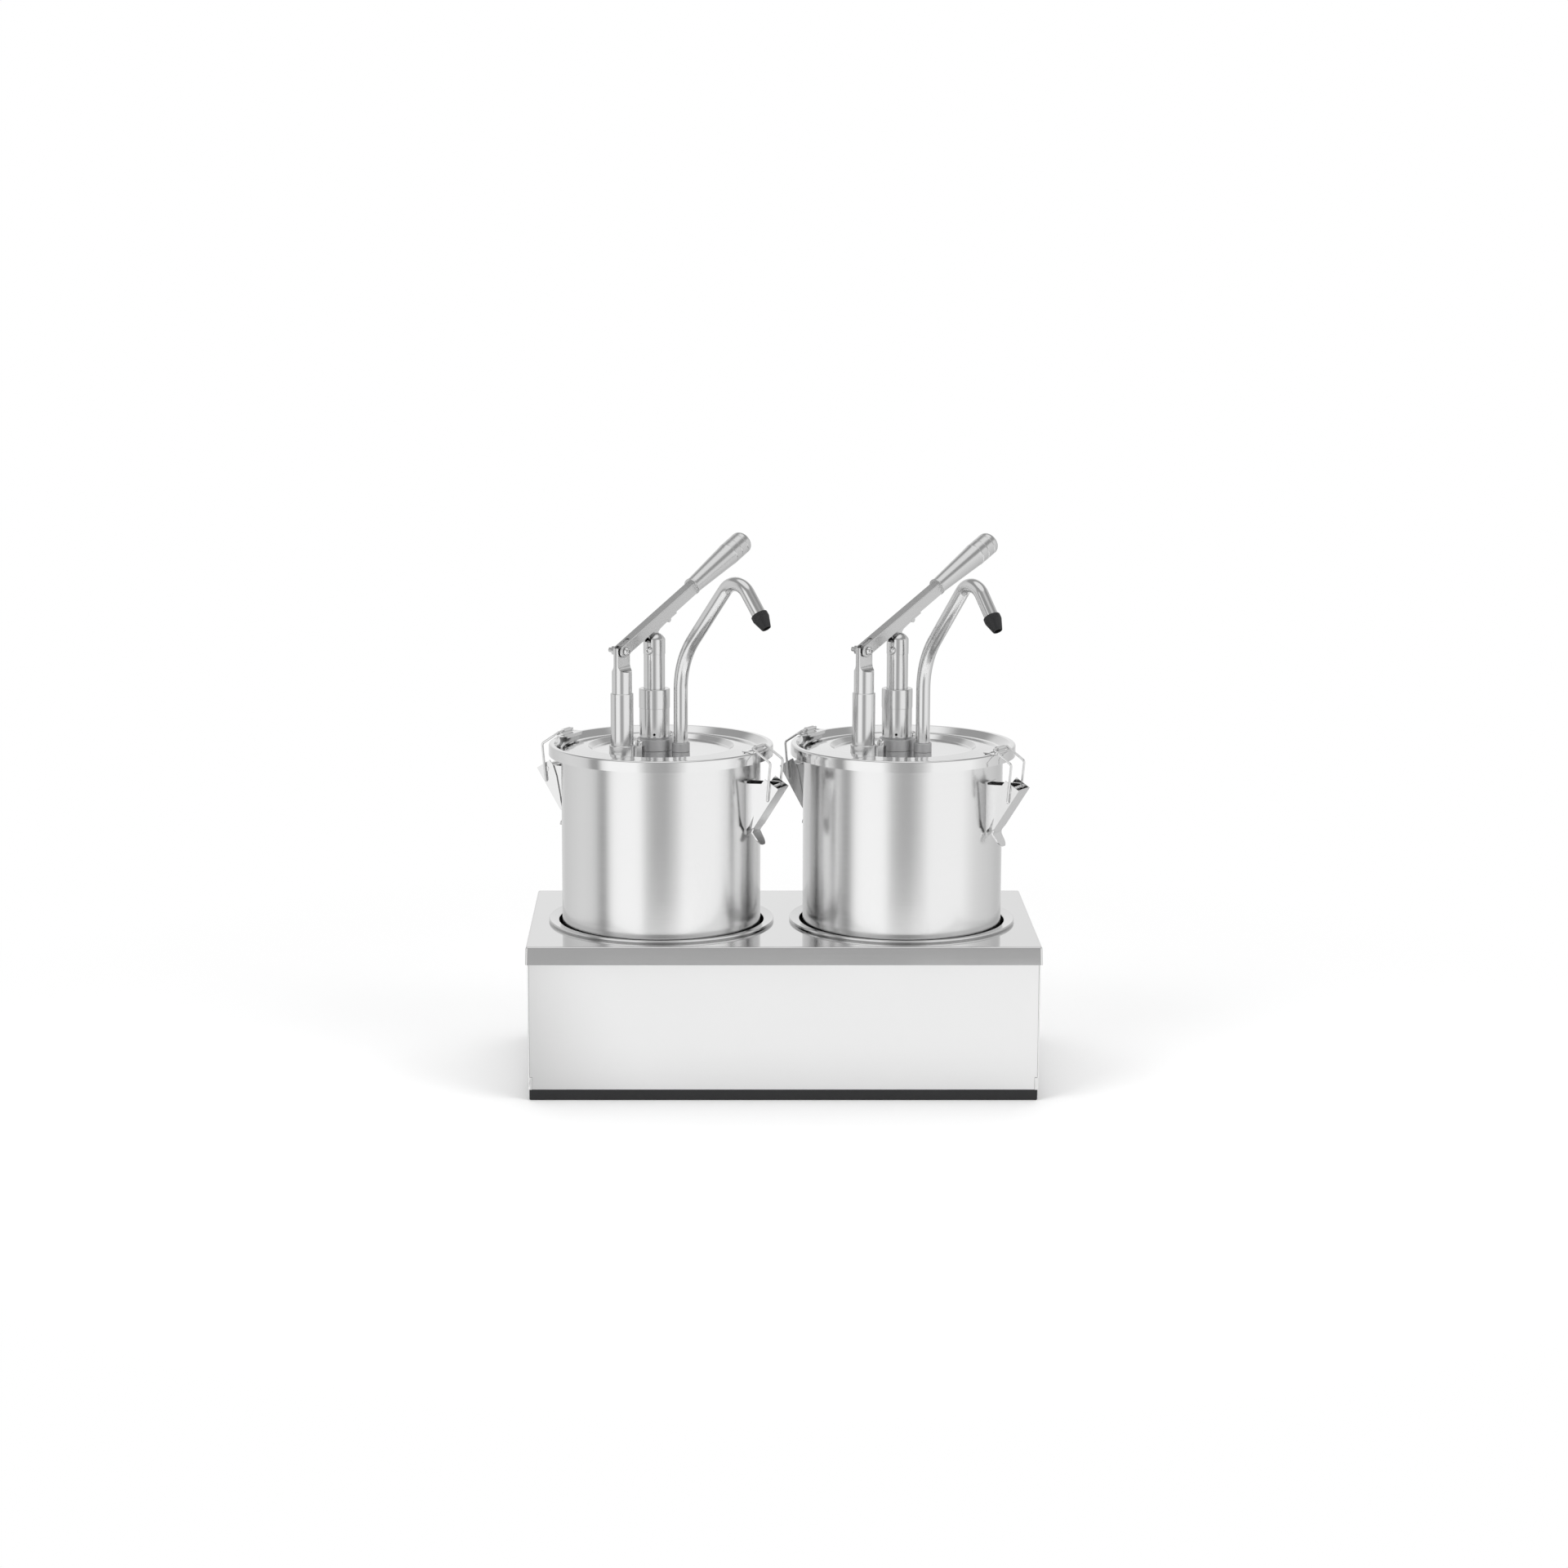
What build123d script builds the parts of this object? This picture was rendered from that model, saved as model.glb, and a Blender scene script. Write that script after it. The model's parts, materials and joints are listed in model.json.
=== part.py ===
from build123d import *
import os
from math import atan2, cos, degrees, hypot, pi, radians, sin, sqrt, tan

# Twin lever-pump sauce dispenser. All sizes in mm, +Z up, front faces -Y.
# The origin is the centre of the underside of the base frame.

os.makedirs("parts", exist_ok=True)

# Driving sizes of the base
PLATE_W = 432.0
PLATE_D = 228.0
PLATE_TOP = 132.4
PLATE_RIM_H = 15.4
PLATE_EDGE_R = 1.6
BASE_SHEET = 1.2
BODY_W = 428.4
BODY_D = 224.8
BODY_CORNER_R = 1.0
FRAME_H = 9.1
FRAME_INSET = 0.8
FRAME_BAR_W = 14.0
FRAME_EDGE_R = 1.2
TAB_W = 3.4
TAB_TOP = 20.0
FLANGE_W = 14.0
PLATE_HOLE_R = 90.0
RING_OUT_R = 96.8
RING_IN_R = 88.0
RING_H = 3.0
RING_LIP = 1.3
RING_LIP_DEPTH = 4.4
RING_ROUND = 1.4

# Where the two pots stand and how far each is turned about its own axis
POT_X = 103.5
POT_Y = -6.3
UNIT_TURN = {"left": 0.0, "right": -5.0}
SIDE_SIGN = {"left": -1.0, "right": 1.0}

# Driving sizes of the pot and the lid
POT_R = 85.3
POT_WALL = 0.8
POT_FOOT_R = 8.0
POT_TOP = 281.0
FLANGE_R = 93.6
FLANGE_LIP = 2.0
LID_SHEET = 1.0
LID_R = 96.0
LID_RIM_TOP = POT_TOP + 6.2
LID_RIM_BOTTOM = POT_TOP - 3.3
LID_RIM_ROUND = 1.2
LID_RIM_FLAT_R = 91.5
LID_TROUGH_R = 83.3
LID_TROUGH_Z = POT_TOP + 0.9
LID_STEP_TOP_R = 62.0
LID_STEP_TOP_Z = POT_TOP + 4.0
LID_PANEL_R = 58.6
LID_PANEL_Z = POT_TOP + 0.2
GASKET_IN_R = 87.4
GASKET_GAP = 0.1

# Plan positions on the lid, measured from the pot's axis
POST_X = -32.4
POST_Y = -34.0
PUMP_X = -5.5
PUMP_Y = 1.6
SPOUT_X = 17.0
SPOUT_Y = -9.9
BOLT_X = -18.2
BOLT_Y = -19.7

# Lever post
COLLAR_D = 22.1
COLLAR_TOP = LID_PANEL_Z + 10.0
POST_LOW_D = 19.3
POST_STEP_Z = LID_PANEL_Z + 54.0
POST_UP_D = 17.0
PIVOT_Z = LID_PANEL_Z + 89.8
TONGUE_T = 4.6
TONGUE_BACK_RISE = 2.9
TONGUE_FRONT_RISE = 2.3
SCALLOP_R = 6.2
SCALLOP_DROP = 11.3
POST_STUD_D = 8.0
POST_NUT_D = 15.0
POST_NUT_H = 5.0
EDGE_BREAK = 0.8

# Pivot bolt, running in the cheeks of the lever
PIVOT_D = 4.0
PIVOT_HEAD_D = 7.0
PIVOT_HEAD_H = 3.4
SOCKET_AF = 2.5
SOCKET_DEPTH = 1.6
PIVOT_NUT_AF = 7.0
PIVOT_NUT_H = 4.0
PIVOT_STUB = 4.0
RUN_GAP = 0.06
SIDE_GAP = 0.25

# Lever channel, along +X of its own frame from the pivot
REST_ANGLE = 24.0
CHANNEL_W = 9.4
CHANNEL_H = 9.9
CHANNEL_BELOW = 4.6
CHANNEL_T = 1.5
CHANNEL_BACK = 6.4
CHANNEL_END_R = 4.8
CHANNEL_END = 106.8
WEB_START = -0.5
WEB_SLOT_L = 10.8
WEB_SLOT_W = 3.6
WEB_SLOT_X = 6.6
WEB_SLOT_R = 0.6

# Handle grip
GRIP_END = 188.6
GRIP_SMALL_D = 14.0
GRIP_BIG_D = 20.4
GRIP_AXIS_Z = 1.2
GRIP_LIP_D = 15.2
GRIP_LIP_L = 1.6
GRIP_SWELL_AT = 0.70
GRIP_CROWN = 0.3
GRIP_FACETS = 5
GRIP_DOME_H = 4.6
GRIP_RINGS = (7.9, 16.5, 24.7)
RING_GROOVE = 0.5
SPIGOT_L = 12.0

# Pump, from the lid upwards
FERRULE_D = 30.0
FERRULE_TOP = LID_PANEL_Z + 9.9
NECK_R = 12.2
BARREL_D = 25.8
BARREL_FLARE_Z = LID_PANEL_Z + 12.0
BARREL_TOP = LID_PANEL_Z + 36.1
BARREL_BORE_R = 11.2
VENT_R = 1.1
VENT_Z = LID_PANEL_Z + 14.4
GLAND_D = 26.5
GLAND_TOP = LID_PANEL_Z + 52.7
GLAND_SPIGOT = 8.3
ROD_D = 18.2
CAP_D = 18.8
CAP_BOTTOM = LID_PANEL_Z + 82.6
CAP_TOP = CAP_BOTTOM + 18.4
CAP_DOME_H = 5.9
CAP_SLOT_W = 6.6
CAP_SLOT_FLOOR = CAP_BOTTOM + 5.5
CAP_SLOT_SILL = CAP_BOTTOM + 10.6
CAP_SLOT_WALL = 1.6
SPIGOT_R = 6.0
SPIGOT_TOP = CAP_BOTTOM + 5.0
SCREW_Z = CAP_BOTTOM + 3.6
SCREW_TURN = 11.0
SCREW_D = 4.0
SCREW_HEAD_D = 6.8
SCREW_HEAD_H = 3.0
DRIVE_PIN_D = 4.0
DRIVE_PIN_RISE = 5.0
DRIVE_PIN_BACK = 8.8
DRIVE_PIN_FRONT = 6.5

# Hidden pump works under the lid
SEAT_TOP = LID_PANEL_Z + 3.8
SEAT_H = 2.5
STEM_R = 4.5
STEM_GAP = 0.08
ROD_SHOULDER = LID_PANEL_Z + 36.8
PISTON_TOP = LID_PANEL_Z - 4.2
PISTON_H = 10.0
PISTON_R = 11.1
PUMP_FLANGE_T = 3.0
PUMP_FLANGE_W = 30.0
PUMP_FLANGE_END_R = 8.0
BLOCK_TOP = LID_PANEL_Z - 41.2
BLOCK_BOTTOM = BLOCK_TOP - 28.0
BLOCK_R = 15.0
RISER_R = 8.6
RISER_BORE_R = 4.0
INTAKE_R = 7.0
INTAKE_BORE_R = 5.8
INTAKE_END = 20.0
SEAT_RING_Z = BLOCK_BOTTOM + 10.0
CHAMBER_R = 7.2
PASSAGE_R = 3.0
BALL_R = 6.2
DISCHARGE_BALL_R = 3.6
SPRING_WIRE_R = 0.7
SPRING_MEAN_R = 7.2
SPRING_TURNS = 4.5
SPRING_CHORDS = 14
SPRING_SIDES = 6

# Drive plate inside the channel
DRIVE_T = 2.4
DRIVE_START = 36.5
DRIVE_NECK = 49.2
DRIVE_NECK_DROP = 1.8
DRIVE_FLARE = 52.5
DRIVE_END = 78.2
DRIVE_BELOW = 3.6
KNOB_X = 66.9
KNOB_R = 2.3
SLOT_DROP = 0.25
SLOT_HALF = 2.55
SLOT_NEAR = 44.2
SLOT_FAR = 49.1
LOBE_WALL = 1.9

# Spout
TUBE_R = 6.0
TUBE_BORE_R = 4.8
TUBE_FOOT = LID_PANEL_Z - 19.2
SWIVEL_GAP = 0.06
SPOUT_RING_D = 15.3
SPOUT_RING_TOP = LID_PANEL_Z + 8.0
SPOUT_HEADING = -45.0
RIGHT_SPOUT_HEADING = -51.7
BEND_Z = LID_PANEL_Z + 53.6
BEND_R = 69.2
BEND_TILT = 39.4
RISE_L = 58.7
TOP_BEND_R = 17.0
DESCENT = 51.6
FALL_L = 23.1

# Nozzle
NOZZLE_L = 12.8
NOZZLE_SLEEVE = 3.2
NOZZLE_BIG_R = 7.25
NOZZLE_TIP_R = 4.0
NOZZLE_HOLE_R = 3.3

# Lid bolts
BOLT_AF = 8.0
BOLT_HEX_H = 6.6
BOLT_DOME_R = 3.3
BOLT_DOME_TOP = 12.4
BOLT_SHANK_R = 2.5
BOLT_SHANK_L = 8.0

# Toggle latches: radius from the pot's axis and height
LATCH_AZIMUTH = {"front": -27.0, "rear": 153.0}
LEVER_PIN_R = 107.2
LEVER_PIN_Z = POT_TOP - 23.7
BAIL_PIN_R = 106.8
BAIL_PIN_Z = POT_TOP - 34.0
RIVET_R = 1.5
RIVET_HEAD_R = 2.6
RIVET_HEAD_H = 0.35
EAR_IN_T = 7.7
EAR_OUT_T = 8.9
CHEEK_IN_T = 9.3
CHEEK_OUT_T = 10.3
LATCH_SHEET = 1.0
BRACKET_LOW = POT_TOP - 65.0
BRACKET_HIGH = POT_TOP - 19.0
BRACKET_T = 1.2
WIRE_R = 1.0
WIRE_T = 11.9
WIRE_BEND_R = 3.0
BAIL_CORNER_R = 110.0
BAIL_CORNER_Z = POT_TOP - 1.4
BAIL_TOP_R = 93.0
BAIL_TOP_Z = LID_RIM_TOP + 3.7
WEB_TOP = (116.4, LEVER_PIN_Z + 0.3)
WEB_LOW = (93.6, LEVER_PIN_Z - 34.7)
CHEEK_INNER_EDGE = (
    (103.8, LEVER_PIN_Z + 7.9),
    (100.6, LEVER_PIN_Z + 3.7),
    (97.4, LEVER_PIN_Z - 5.3),
    (94.6, LEVER_PIN_Z - 19.3),
    (91.6, LEVER_PIN_Z - 35.3),
)
TAB_HALF_W = 6.4
TAB_BEND = (90.6, LEVER_PIN_Z - 39.7)
TAB_END_R = 98.2
TAB_END_Z = LEVER_PIN_Z - 50.5
HOOK_HALF_W = 16.0
HOOK_OUT_R = 97.4
HOOK_LIP_R = 85.4
HOOK_LIP_Z = LID_RIM_TOP - 1.3
HOOK_GAP = 0.5
HOOK_SHEET = 1.0
WINDOW_T = 11.0
WINDOW_W = 7.0
WINDOW_L = 6.0
WINDOW_R = 93.0
CURL_HALF_W = 6.0

FLOOR_Z = FRAME_H + BASE_SHEET
PUMP_REACH = hypot(PUMP_X - POST_X, PUMP_Y - POST_Y)
LEVER_HEADING = degrees(atan2(PUMP_Y - POST_Y, PUMP_X - POST_X))
LID_UNDER = LID_PANEL_Z - LID_SHEET
CENTRED = (Align.CENTER, Align.CENTER, Align.MIN)


def disc(radius, low, high, x=0.0, y=0.0):
    """Upright cylinder between two heights."""
    return Pos(x, y, low) * Cylinder(radius, high - low, align=CENTRED)


def block(x0, x1, y0, y1, z0, z1):
    """Box given by its six faces."""
    size = Box(x1 - x0, y1 - y0, z1 - z0, align=(Align.MIN, Align.MIN, Align.MIN))
    return Pos(x0, y0, z0) * size


def turned(points):
    """Solid turned about Z from a closed outline of radius and height."""
    outline = make_face(Polyline(*points, close=True))
    return revolve(Plane.XZ * outline, Axis.Z)


def side_plate(points, inner, outer):
    """Plate with an outline in X and Z, between two values of Y."""
    outline = Plane.XZ * make_face(Polyline(*points, close=True))
    return Pos(0, outer, 0) * extrude(outline, outer - inner)


def cross_pin(radius, x, z, low, high):
    """Cylinder along Y at one place in X and Z."""
    pin = Cylinder(radius, high - low, align=CENTRED)
    return Pos(x, high, z) * Rot(90, 0, 0) * pin


def rounded_path(points, radii):
    """Wire through points in space with an arc at each inner corner."""
    edges = []
    start = Vector(*points[0])
    for before, corner, after, radius in zip(points, points[1:], points[2:], radii):
        corner = Vector(*corner)
        back = (Vector(*before) - corner).normalized()
        ahead = (Vector(*after) - corner).normalized()
        half = radians(back.get_angle(ahead)) / 2
        reach = radius / tan(half)
        enter = corner + back * reach
        leave = corner + ahead * reach
        middle_way = (back + ahead).normalized()
        middle = corner + middle_way * (radius / sin(half) - radius)
        edges.append(Line(start, enter))
        edges.append(ThreePointArc(enter, middle, leave))
        start = leave
    edges.append(Line(start, Vector(*points[-1])))
    return Wire(edges)


def swept_rod(path, radius):
    """Round bar along a path."""
    section = Plane(origin=path @ 0, z_dir=path % 0) * Circle(radius)
    return sweep(section, path=path)


def on_lid(shape, x, y):
    """Move a turned piece from the Z axis to its place on the lid."""
    return Pos(x, y, 0) * shape


# Base

def top_plate():
    """Pressed cover with two wide holes and a turned-down rim."""
    low = PLATE_TOP - PLATE_RIM_H
    half_w, half_d = PLATE_W / 2, PLATE_D / 2
    shell = block(-half_w, half_w, -half_d, half_d, low, PLATE_TOP)
    shell = fillet(shell.edges().filter_by(Axis.Z), PLATE_EDGE_R)
    shell = fillet(shell.faces().sort_by(Axis.Z)[-1].edges(), PLATE_EDGE_R)
    wide = half_w - BASE_SHEET
    deep = half_d - BASE_SHEET
    shell -= block(-wide, wide, -deep, deep, low - 1, PLATE_TOP - BASE_SHEET)
    for x in (-POT_X, POT_X):
        shell -= disc(PLATE_HOLE_R, low, PLATE_TOP + 1, x, POT_Y)
    return shell


def collar_ring():
    """Rounded ring lying on the plate with a lip down into the hole."""
    top = PLATE_TOP + RING_H
    lip = RING_IN_R + RING_LIP
    outline = [
        (RING_IN_R, PLATE_TOP - RING_LIP_DEPTH),
        (lip, PLATE_TOP - RING_LIP_DEPTH),
        (lip, PLATE_TOP),
        (RING_OUT_R, PLATE_TOP),
        (RING_OUT_R, top - RING_ROUND),
        (RING_OUT_R - RING_ROUND * 0.6, top - RING_ROUND * 0.25),
        (RING_OUT_R - RING_ROUND * 2, top),
        (RING_IN_R + RING_ROUND, top),
        (RING_IN_R, top - RING_ROUND),
    ]
    return turned(outline)


def collar_rings():
    """One ring at each pot hole."""
    ring = collar_ring()
    return [Pos(x, POT_Y, 0) * ring for x in (-POT_X, POT_X)]


def body_wrap():
    """Front wall, floor and rear wall bent from one sheet."""
    half_w = BODY_W / 2 - BASE_SHEET
    half_d = BODY_D / 2
    top = PLATE_TOP - BASE_SHEET
    wrap = block(-half_w, half_w, -half_d, half_d, FRAME_H, top)
    lower_edges = wrap.edges().filter_by(Axis.X).group_by(Axis.Z)[0]
    wrap = fillet(lower_edges, BODY_CORNER_R)
    wrap -= block(
        -half_w, half_w, -half_d + BASE_SHEET, half_d - BASE_SHEET, FLOOR_Z, top
    )
    for sign in (-1, 1):
        edge = sign * (BODY_W / 2 - TAB_W)
        ends = sorted((edge, sign * (half_w + 1)))
        wrap -= block(ends[0], ends[1], -half_d - 1, -half_d + BASE_SHEET, 0, TAB_TOP)
    return wrap


def side_panel(sign):
    """End panel with a top flange and a small tab round the front corner."""
    out = BODY_W / 2
    half_d = BODY_D / 2
    top = PLATE_TOP - BASE_SHEET
    panel = block(out - BASE_SHEET, out, -half_d, half_d, FRAME_H, top)
    inner = out - BASE_SHEET
    clear = half_d - BASE_SHEET
    panel += block(inner - FLANGE_W, inner, -clear, clear, top - BASE_SHEET, top)
    front_tab = -half_d + BASE_SHEET
    panel += block(out - TAB_W, inner, -half_d, front_tab, FRAME_H, TAB_TOP)
    return panel if sign > 0 else mirror(panel, Plane.YZ)


def side_panels():
    """The two end panels."""
    return [side_panel(sign) for sign in (-1, 1)]


def base_frame():
    """Rubber frame round the underside, which the dispenser rests on."""
    half_w = BODY_W / 2 - FRAME_INSET
    half_d = BODY_D / 2 - FRAME_INSET
    frame = block(-half_w, half_w, -half_d, half_d, 0, FRAME_H)
    frame = fillet(frame.edges().group_by(Axis.Z)[0], FRAME_EDGE_R)
    wide, deep = half_w - FRAME_BAR_W, half_d - FRAME_BAR_W
    return frame - block(-wide, wide, -deep, deep, -1, FRAME_H + 1)


# Pot, gasket and lid

def pot():
    """Deep drawn pot with a flat floor and an outward flange at the top."""
    outer = disc(POT_R, FLOOR_Z, POT_TOP)
    outer = fillet(outer.edges().group_by(Axis.Z)[0], POT_FOOT_R)
    inner = disc(POT_R - POT_WALL, FLOOR_Z + POT_WALL, POT_TOP + 1)
    inner = fillet(inner.edges().group_by(Axis.Z)[0], POT_FOOT_R - POT_WALL)
    flange = turned(
        [
            (POT_R - POT_WALL / 2, POT_TOP - POT_WALL),
            (FLANGE_R - POT_WALL, POT_TOP - POT_WALL),
            (FLANGE_R - POT_WALL, POT_TOP - FLANGE_LIP),
            (FLANGE_R, POT_TOP - FLANGE_LIP),
            (FLANGE_R, POT_TOP),
            (POT_R - POT_WALL / 2, POT_TOP),
        ]
    )
    return outer + flange - inner


def rim_slope(depth):
    """Foot and head of the lid's inner slope, at a depth below its top face."""
    foot = Vector(LID_TROUGH_R + LID_SHEET, LID_TROUGH_Z + LID_SHEET * 0.4)
    head = Vector(LID_RIM_FLAT_R, LID_RIM_TOP)
    way = (head - foot).normalized()
    foot += Vector(way.Y, -way.X) * depth
    reach = (LID_RIM_TOP - depth - foot.Y) / way.Y
    head = foot + way * reach
    return (foot.X, foot.Y), (head.X, head.Y)


def lid_gasket():
    """Rubber ring that fills the lid's rim above the pot's flange."""
    foot, head = rim_slope(LID_SHEET)
    share = (GASKET_IN_R - foot[0]) / (head[0] - foot[0])
    inner_top = foot[1] + share * (head[1] - foot[1]) - GASKET_GAP
    out = LID_R - LID_SHEET
    return turned(
        [
            (GASKET_IN_R, POT_TOP),
            (out, POT_TOP),
            (out, head[1]),
            (head[0] + GASKET_GAP, head[1]),
            (GASKET_IN_R, inner_top),
        ]
    )


def lid():
    """Pressed lid: deep rim, trough, raised step and a lower flat panel."""
    t = LID_SHEET
    foot, head = rim_slope(0)
    foot_under, head_under = rim_slope(t)
    upper = [
        (LID_R, LID_RIM_BOTTOM),
        (LID_R, LID_RIM_TOP - LID_RIM_ROUND),
        (LID_R - LID_RIM_ROUND * 0.3, LID_RIM_TOP - LID_RIM_ROUND * 0.3),
        (LID_R - LID_RIM_ROUND, LID_RIM_TOP),
        head,
        foot,
        (LID_TROUGH_R - t, LID_TROUGH_Z),
        (LID_STEP_TOP_R + t, LID_STEP_TOP_Z),
        (LID_STEP_TOP_R, LID_STEP_TOP_Z - t * 0.1),
        (LID_PANEL_R, LID_PANEL_Z),
        (0, LID_PANEL_Z),
    ]
    lower = [
        (0, LID_PANEL_Z - t),
        (LID_PANEL_R + t * 0.8, LID_PANEL_Z - t),
        (LID_STEP_TOP_R + t * 0.8, LID_STEP_TOP_Z - t * 1.1),
        (LID_TROUGH_R - t, LID_TROUGH_Z - t),
        foot_under,
        head_under,
        (LID_R - t, LID_RIM_TOP - t),
        (LID_R - t, LID_RIM_BOTTOM),
    ]
    shape = turned(upper + lower)
    shape -= disc(NECK_R, LID_UNDER - 1, LID_PANEL_Z + 1, PUMP_X, PUMP_Y)
    shape -= disc(TUBE_R + SWIVEL_GAP, LID_UNDER - 1, LID_PANEL_Z + 1, SPOUT_X, SPOUT_Y)
    shape -= disc(POST_STUD_D / 2, LID_UNDER - 1, LID_PANEL_Z + 1, POST_X, POST_Y)
    for x, y in bolt_places():
        shape -= disc(BOLT_SHANK_R, LID_UNDER - 1, LID_PANEL_Z + 1, x, y)
    return shape


def bolt_places():
    """The two bolts lie opposite each other across the pump."""
    return [(BOLT_X, BOLT_Y), (2 * PUMP_X - BOLT_X, 2 * PUMP_Y - BOLT_Y)]


def lid_bolts():
    """Two domed cap screws that hold the pump flange under the lid."""
    face = Pos(0, 0, LID_PANEL_Z) * RegularPolygon(BOLT_AF / sqrt(3), 6)
    bolt = extrude(face, BOLT_HEX_H)
    dome_centre = LID_PANEL_Z + BOLT_DOME_TOP - BOLT_DOME_R
    bolt += disc(BOLT_DOME_R, LID_PANEL_Z + BOLT_HEX_H, dome_centre)
    bolt += Pos(0, 0, dome_centre) * Sphere(BOLT_DOME_R)
    bolt += disc(BOLT_SHANK_R, LID_PANEL_Z - BOLT_SHANK_L, LID_PANEL_Z + 1)
    return [on_lid(bolt, x, y) for x, y in bolt_places()]


# Lever post and pivot

def in_lever_heading(shape):
    """Turn a piece made along X to the lever's heading, on the post's axis."""
    return Pos(POST_X, POST_Y, 0) * Rot(0, 0, LEVER_HEADING) * shape


def tongue_outline():
    """Side view of the upper post, whose top stays clear of the lever's web."""
    reach = POST_UP_D / 2 + 1
    outline = [
        (-reach, POST_STEP_Z - 2),
        (-reach, PIVOT_Z + TONGUE_BACK_RISE),
        (-reach / 4, PIVOT_Z + TONGUE_BACK_RISE),
        (reach, PIVOT_Z + TONGUE_FRONT_RISE),
        (reach, POST_STEP_Z - 2),
    ]
    return side_plate(outline, -reach, reach)


def scallop():
    """Round-bottomed cut along X that leaves one flat of the tongue."""
    z = PIVOT_Z - SCALLOP_DROP
    y = TONGUE_T / 2 + SCALLOP_R
    half = POST_UP_D / 2
    groove = Cylinder(SCALLOP_R, 2 * POST_UP_D, rotation=(0, 90, 0))
    above = block(-half - 1, half + 1, TONGUE_T / 2, half + 1, z, PIVOT_Z + half)
    return Pos(0, y, z) * groove + above


def post():
    """Stepped round post, cut to a flat tongue, held by a nut under the lid."""
    shape = disc(POST_UP_D / 2, POST_STEP_Z - 1, PIVOT_Z + POST_UP_D / 2)
    shape &= tongue_outline()
    cut = scallop()
    shape -= cut
    shape -= mirror(cut, Plane.XZ)
    shape -= cross_pin(PIVOT_D / 2, 0, PIVOT_Z, -POST_UP_D, POST_UP_D)
    lower = disc(POST_LOW_D / 2, COLLAR_TOP - 2, POST_STEP_Z)
    shape += chamfer(lower.edges().group_by(Axis.Z)[-1], EDGE_BREAK / 2)
    shape += disc(POST_STUD_D / 2, LID_UNDER - POST_NUT_H - 3, COLLAR_TOP - 2)
    shape += disc(POST_NUT_D / 2, LID_UNDER - POST_NUT_H, LID_UNDER)
    return in_lever_heading(shape)


def post_collar():
    """Polished collar between the post and the lid."""
    shape = disc(COLLAR_D / 2, LID_PANEL_Z, COLLAR_TOP)
    shape = chamfer(shape.edges().group_by(Axis.Z)[-1], EDGE_BREAK)
    shape -= disc(POST_STUD_D / 2, LID_PANEL_Z - 1, COLLAR_TOP - 2)
    shape -= disc(POST_LOW_D / 2, COLLAR_TOP - 2, COLLAR_TOP + 1)
    return on_lid(shape, POST_X, POST_Y)


def socket_head(diameter, height):
    """Domed screw head on the Z axis with a hexagon socket."""
    radius = diameter / 2
    head = turned(
        [
            (0, 0),
            (radius, 0),
            (radius, height * 0.25),
            (radius * 0.88, height * 0.65),
            (radius * 0.6, height),
            (0, height),
        ]
    )
    socket = extrude(RegularPolygon(SOCKET_AF / sqrt(3), 6), SOCKET_DEPTH + 1)
    return head - Pos(0, 0, height - SOCKET_DEPTH) * socket


def pivot_bolt():
    """Bolt through the post's tongue, with its nut as a second solid."""
    face = CHANNEL_W / 2 + SIDE_GAP
    bolt = cross_pin(PIVOT_D / 2, 0, PIVOT_Z, -face - 0.5, face + PIVOT_STUB + PIVOT_NUT_H)
    head = socket_head(PIVOT_HEAD_D, PIVOT_HEAD_H)
    bolt += Pos(0, -face, PIVOT_Z) * Rot(90, 0, 0) * head
    hexagon = Plane.XZ * RegularPolygon(PIVOT_NUT_AF / sqrt(3), 6)
    nut = Pos(0, face + PIVOT_NUT_H, PIVOT_Z) * extrude(hexagon, PIVOT_NUT_H)
    nut -= cross_pin(PIVOT_D / 2, 0, PIVOT_Z, face - 1, face + PIVOT_NUT_H + 1)
    return [in_lever_heading(bolt), in_lever_heading(nut)]


# Lever: channel, drive plate and grip

def in_lever(shape):
    """Set a piece made in the lever's own frame at the rest angle."""
    return in_lever_heading(Pos(0, 0, PIVOT_Z) * Rot(0, -REST_ANGLE, 0) * shape)


def lever_channel():
    """Upside-down U channel whose cheeks reach back round the pivot bolt."""
    half = CHANNEL_W / 2
    top = CHANNEL_H - CHANNEL_BELOW
    shape = block(-CHANNEL_BACK, CHANNEL_END, -half, half, -CHANNEL_BELOW, top)
    back_edges = shape.edges().filter_by(Axis.Y).group_by(Axis.X)[0]
    shape = fillet(back_edges, CHANNEL_END_R)
    long_edges = shape.edges().filter_by(Axis.X).group_by(Axis.Z)[-1]
    shape = fillet(long_edges, EDGE_BREAK)
    inside = half - CHANNEL_T
    hollow_top = top - CHANNEL_T
    low = -CHANNEL_H
    shape -= block(-CHANNEL_BACK - 1, CHANNEL_END + 1, -inside, inside, low, hollow_top)
    shape -= block(-CHANNEL_BACK - 1, WEB_START, -inside, inside, low, top + 1)
    slot = extrude(RectangleRounded(WEB_SLOT_L, WEB_SLOT_W, WEB_SLOT_R), 2 * CHANNEL_T)
    shape -= Pos(WEB_SLOT_X, 0, hollow_top - CHANNEL_T / 2) * slot
    shape -= cross_pin(PIVOT_D / 2 + RUN_GAP, 0, 0, -half - 1, half + 1)
    return in_lever(shape)


def slot_centres():
    """Ends of the drive slot's centre line in the lever's frame."""
    pin_angle = degrees(atan2(DRIVE_PIN_RISE, PUMP_REACH)) - REST_ANGLE
    along = Vector(cos(radians(pin_angle)), sin(radians(pin_angle)))
    below = Vector(along.Y, -along.X) * SLOT_DROP
    return along * SLOT_NEAR + below, along * SLOT_FAR + below


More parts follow.
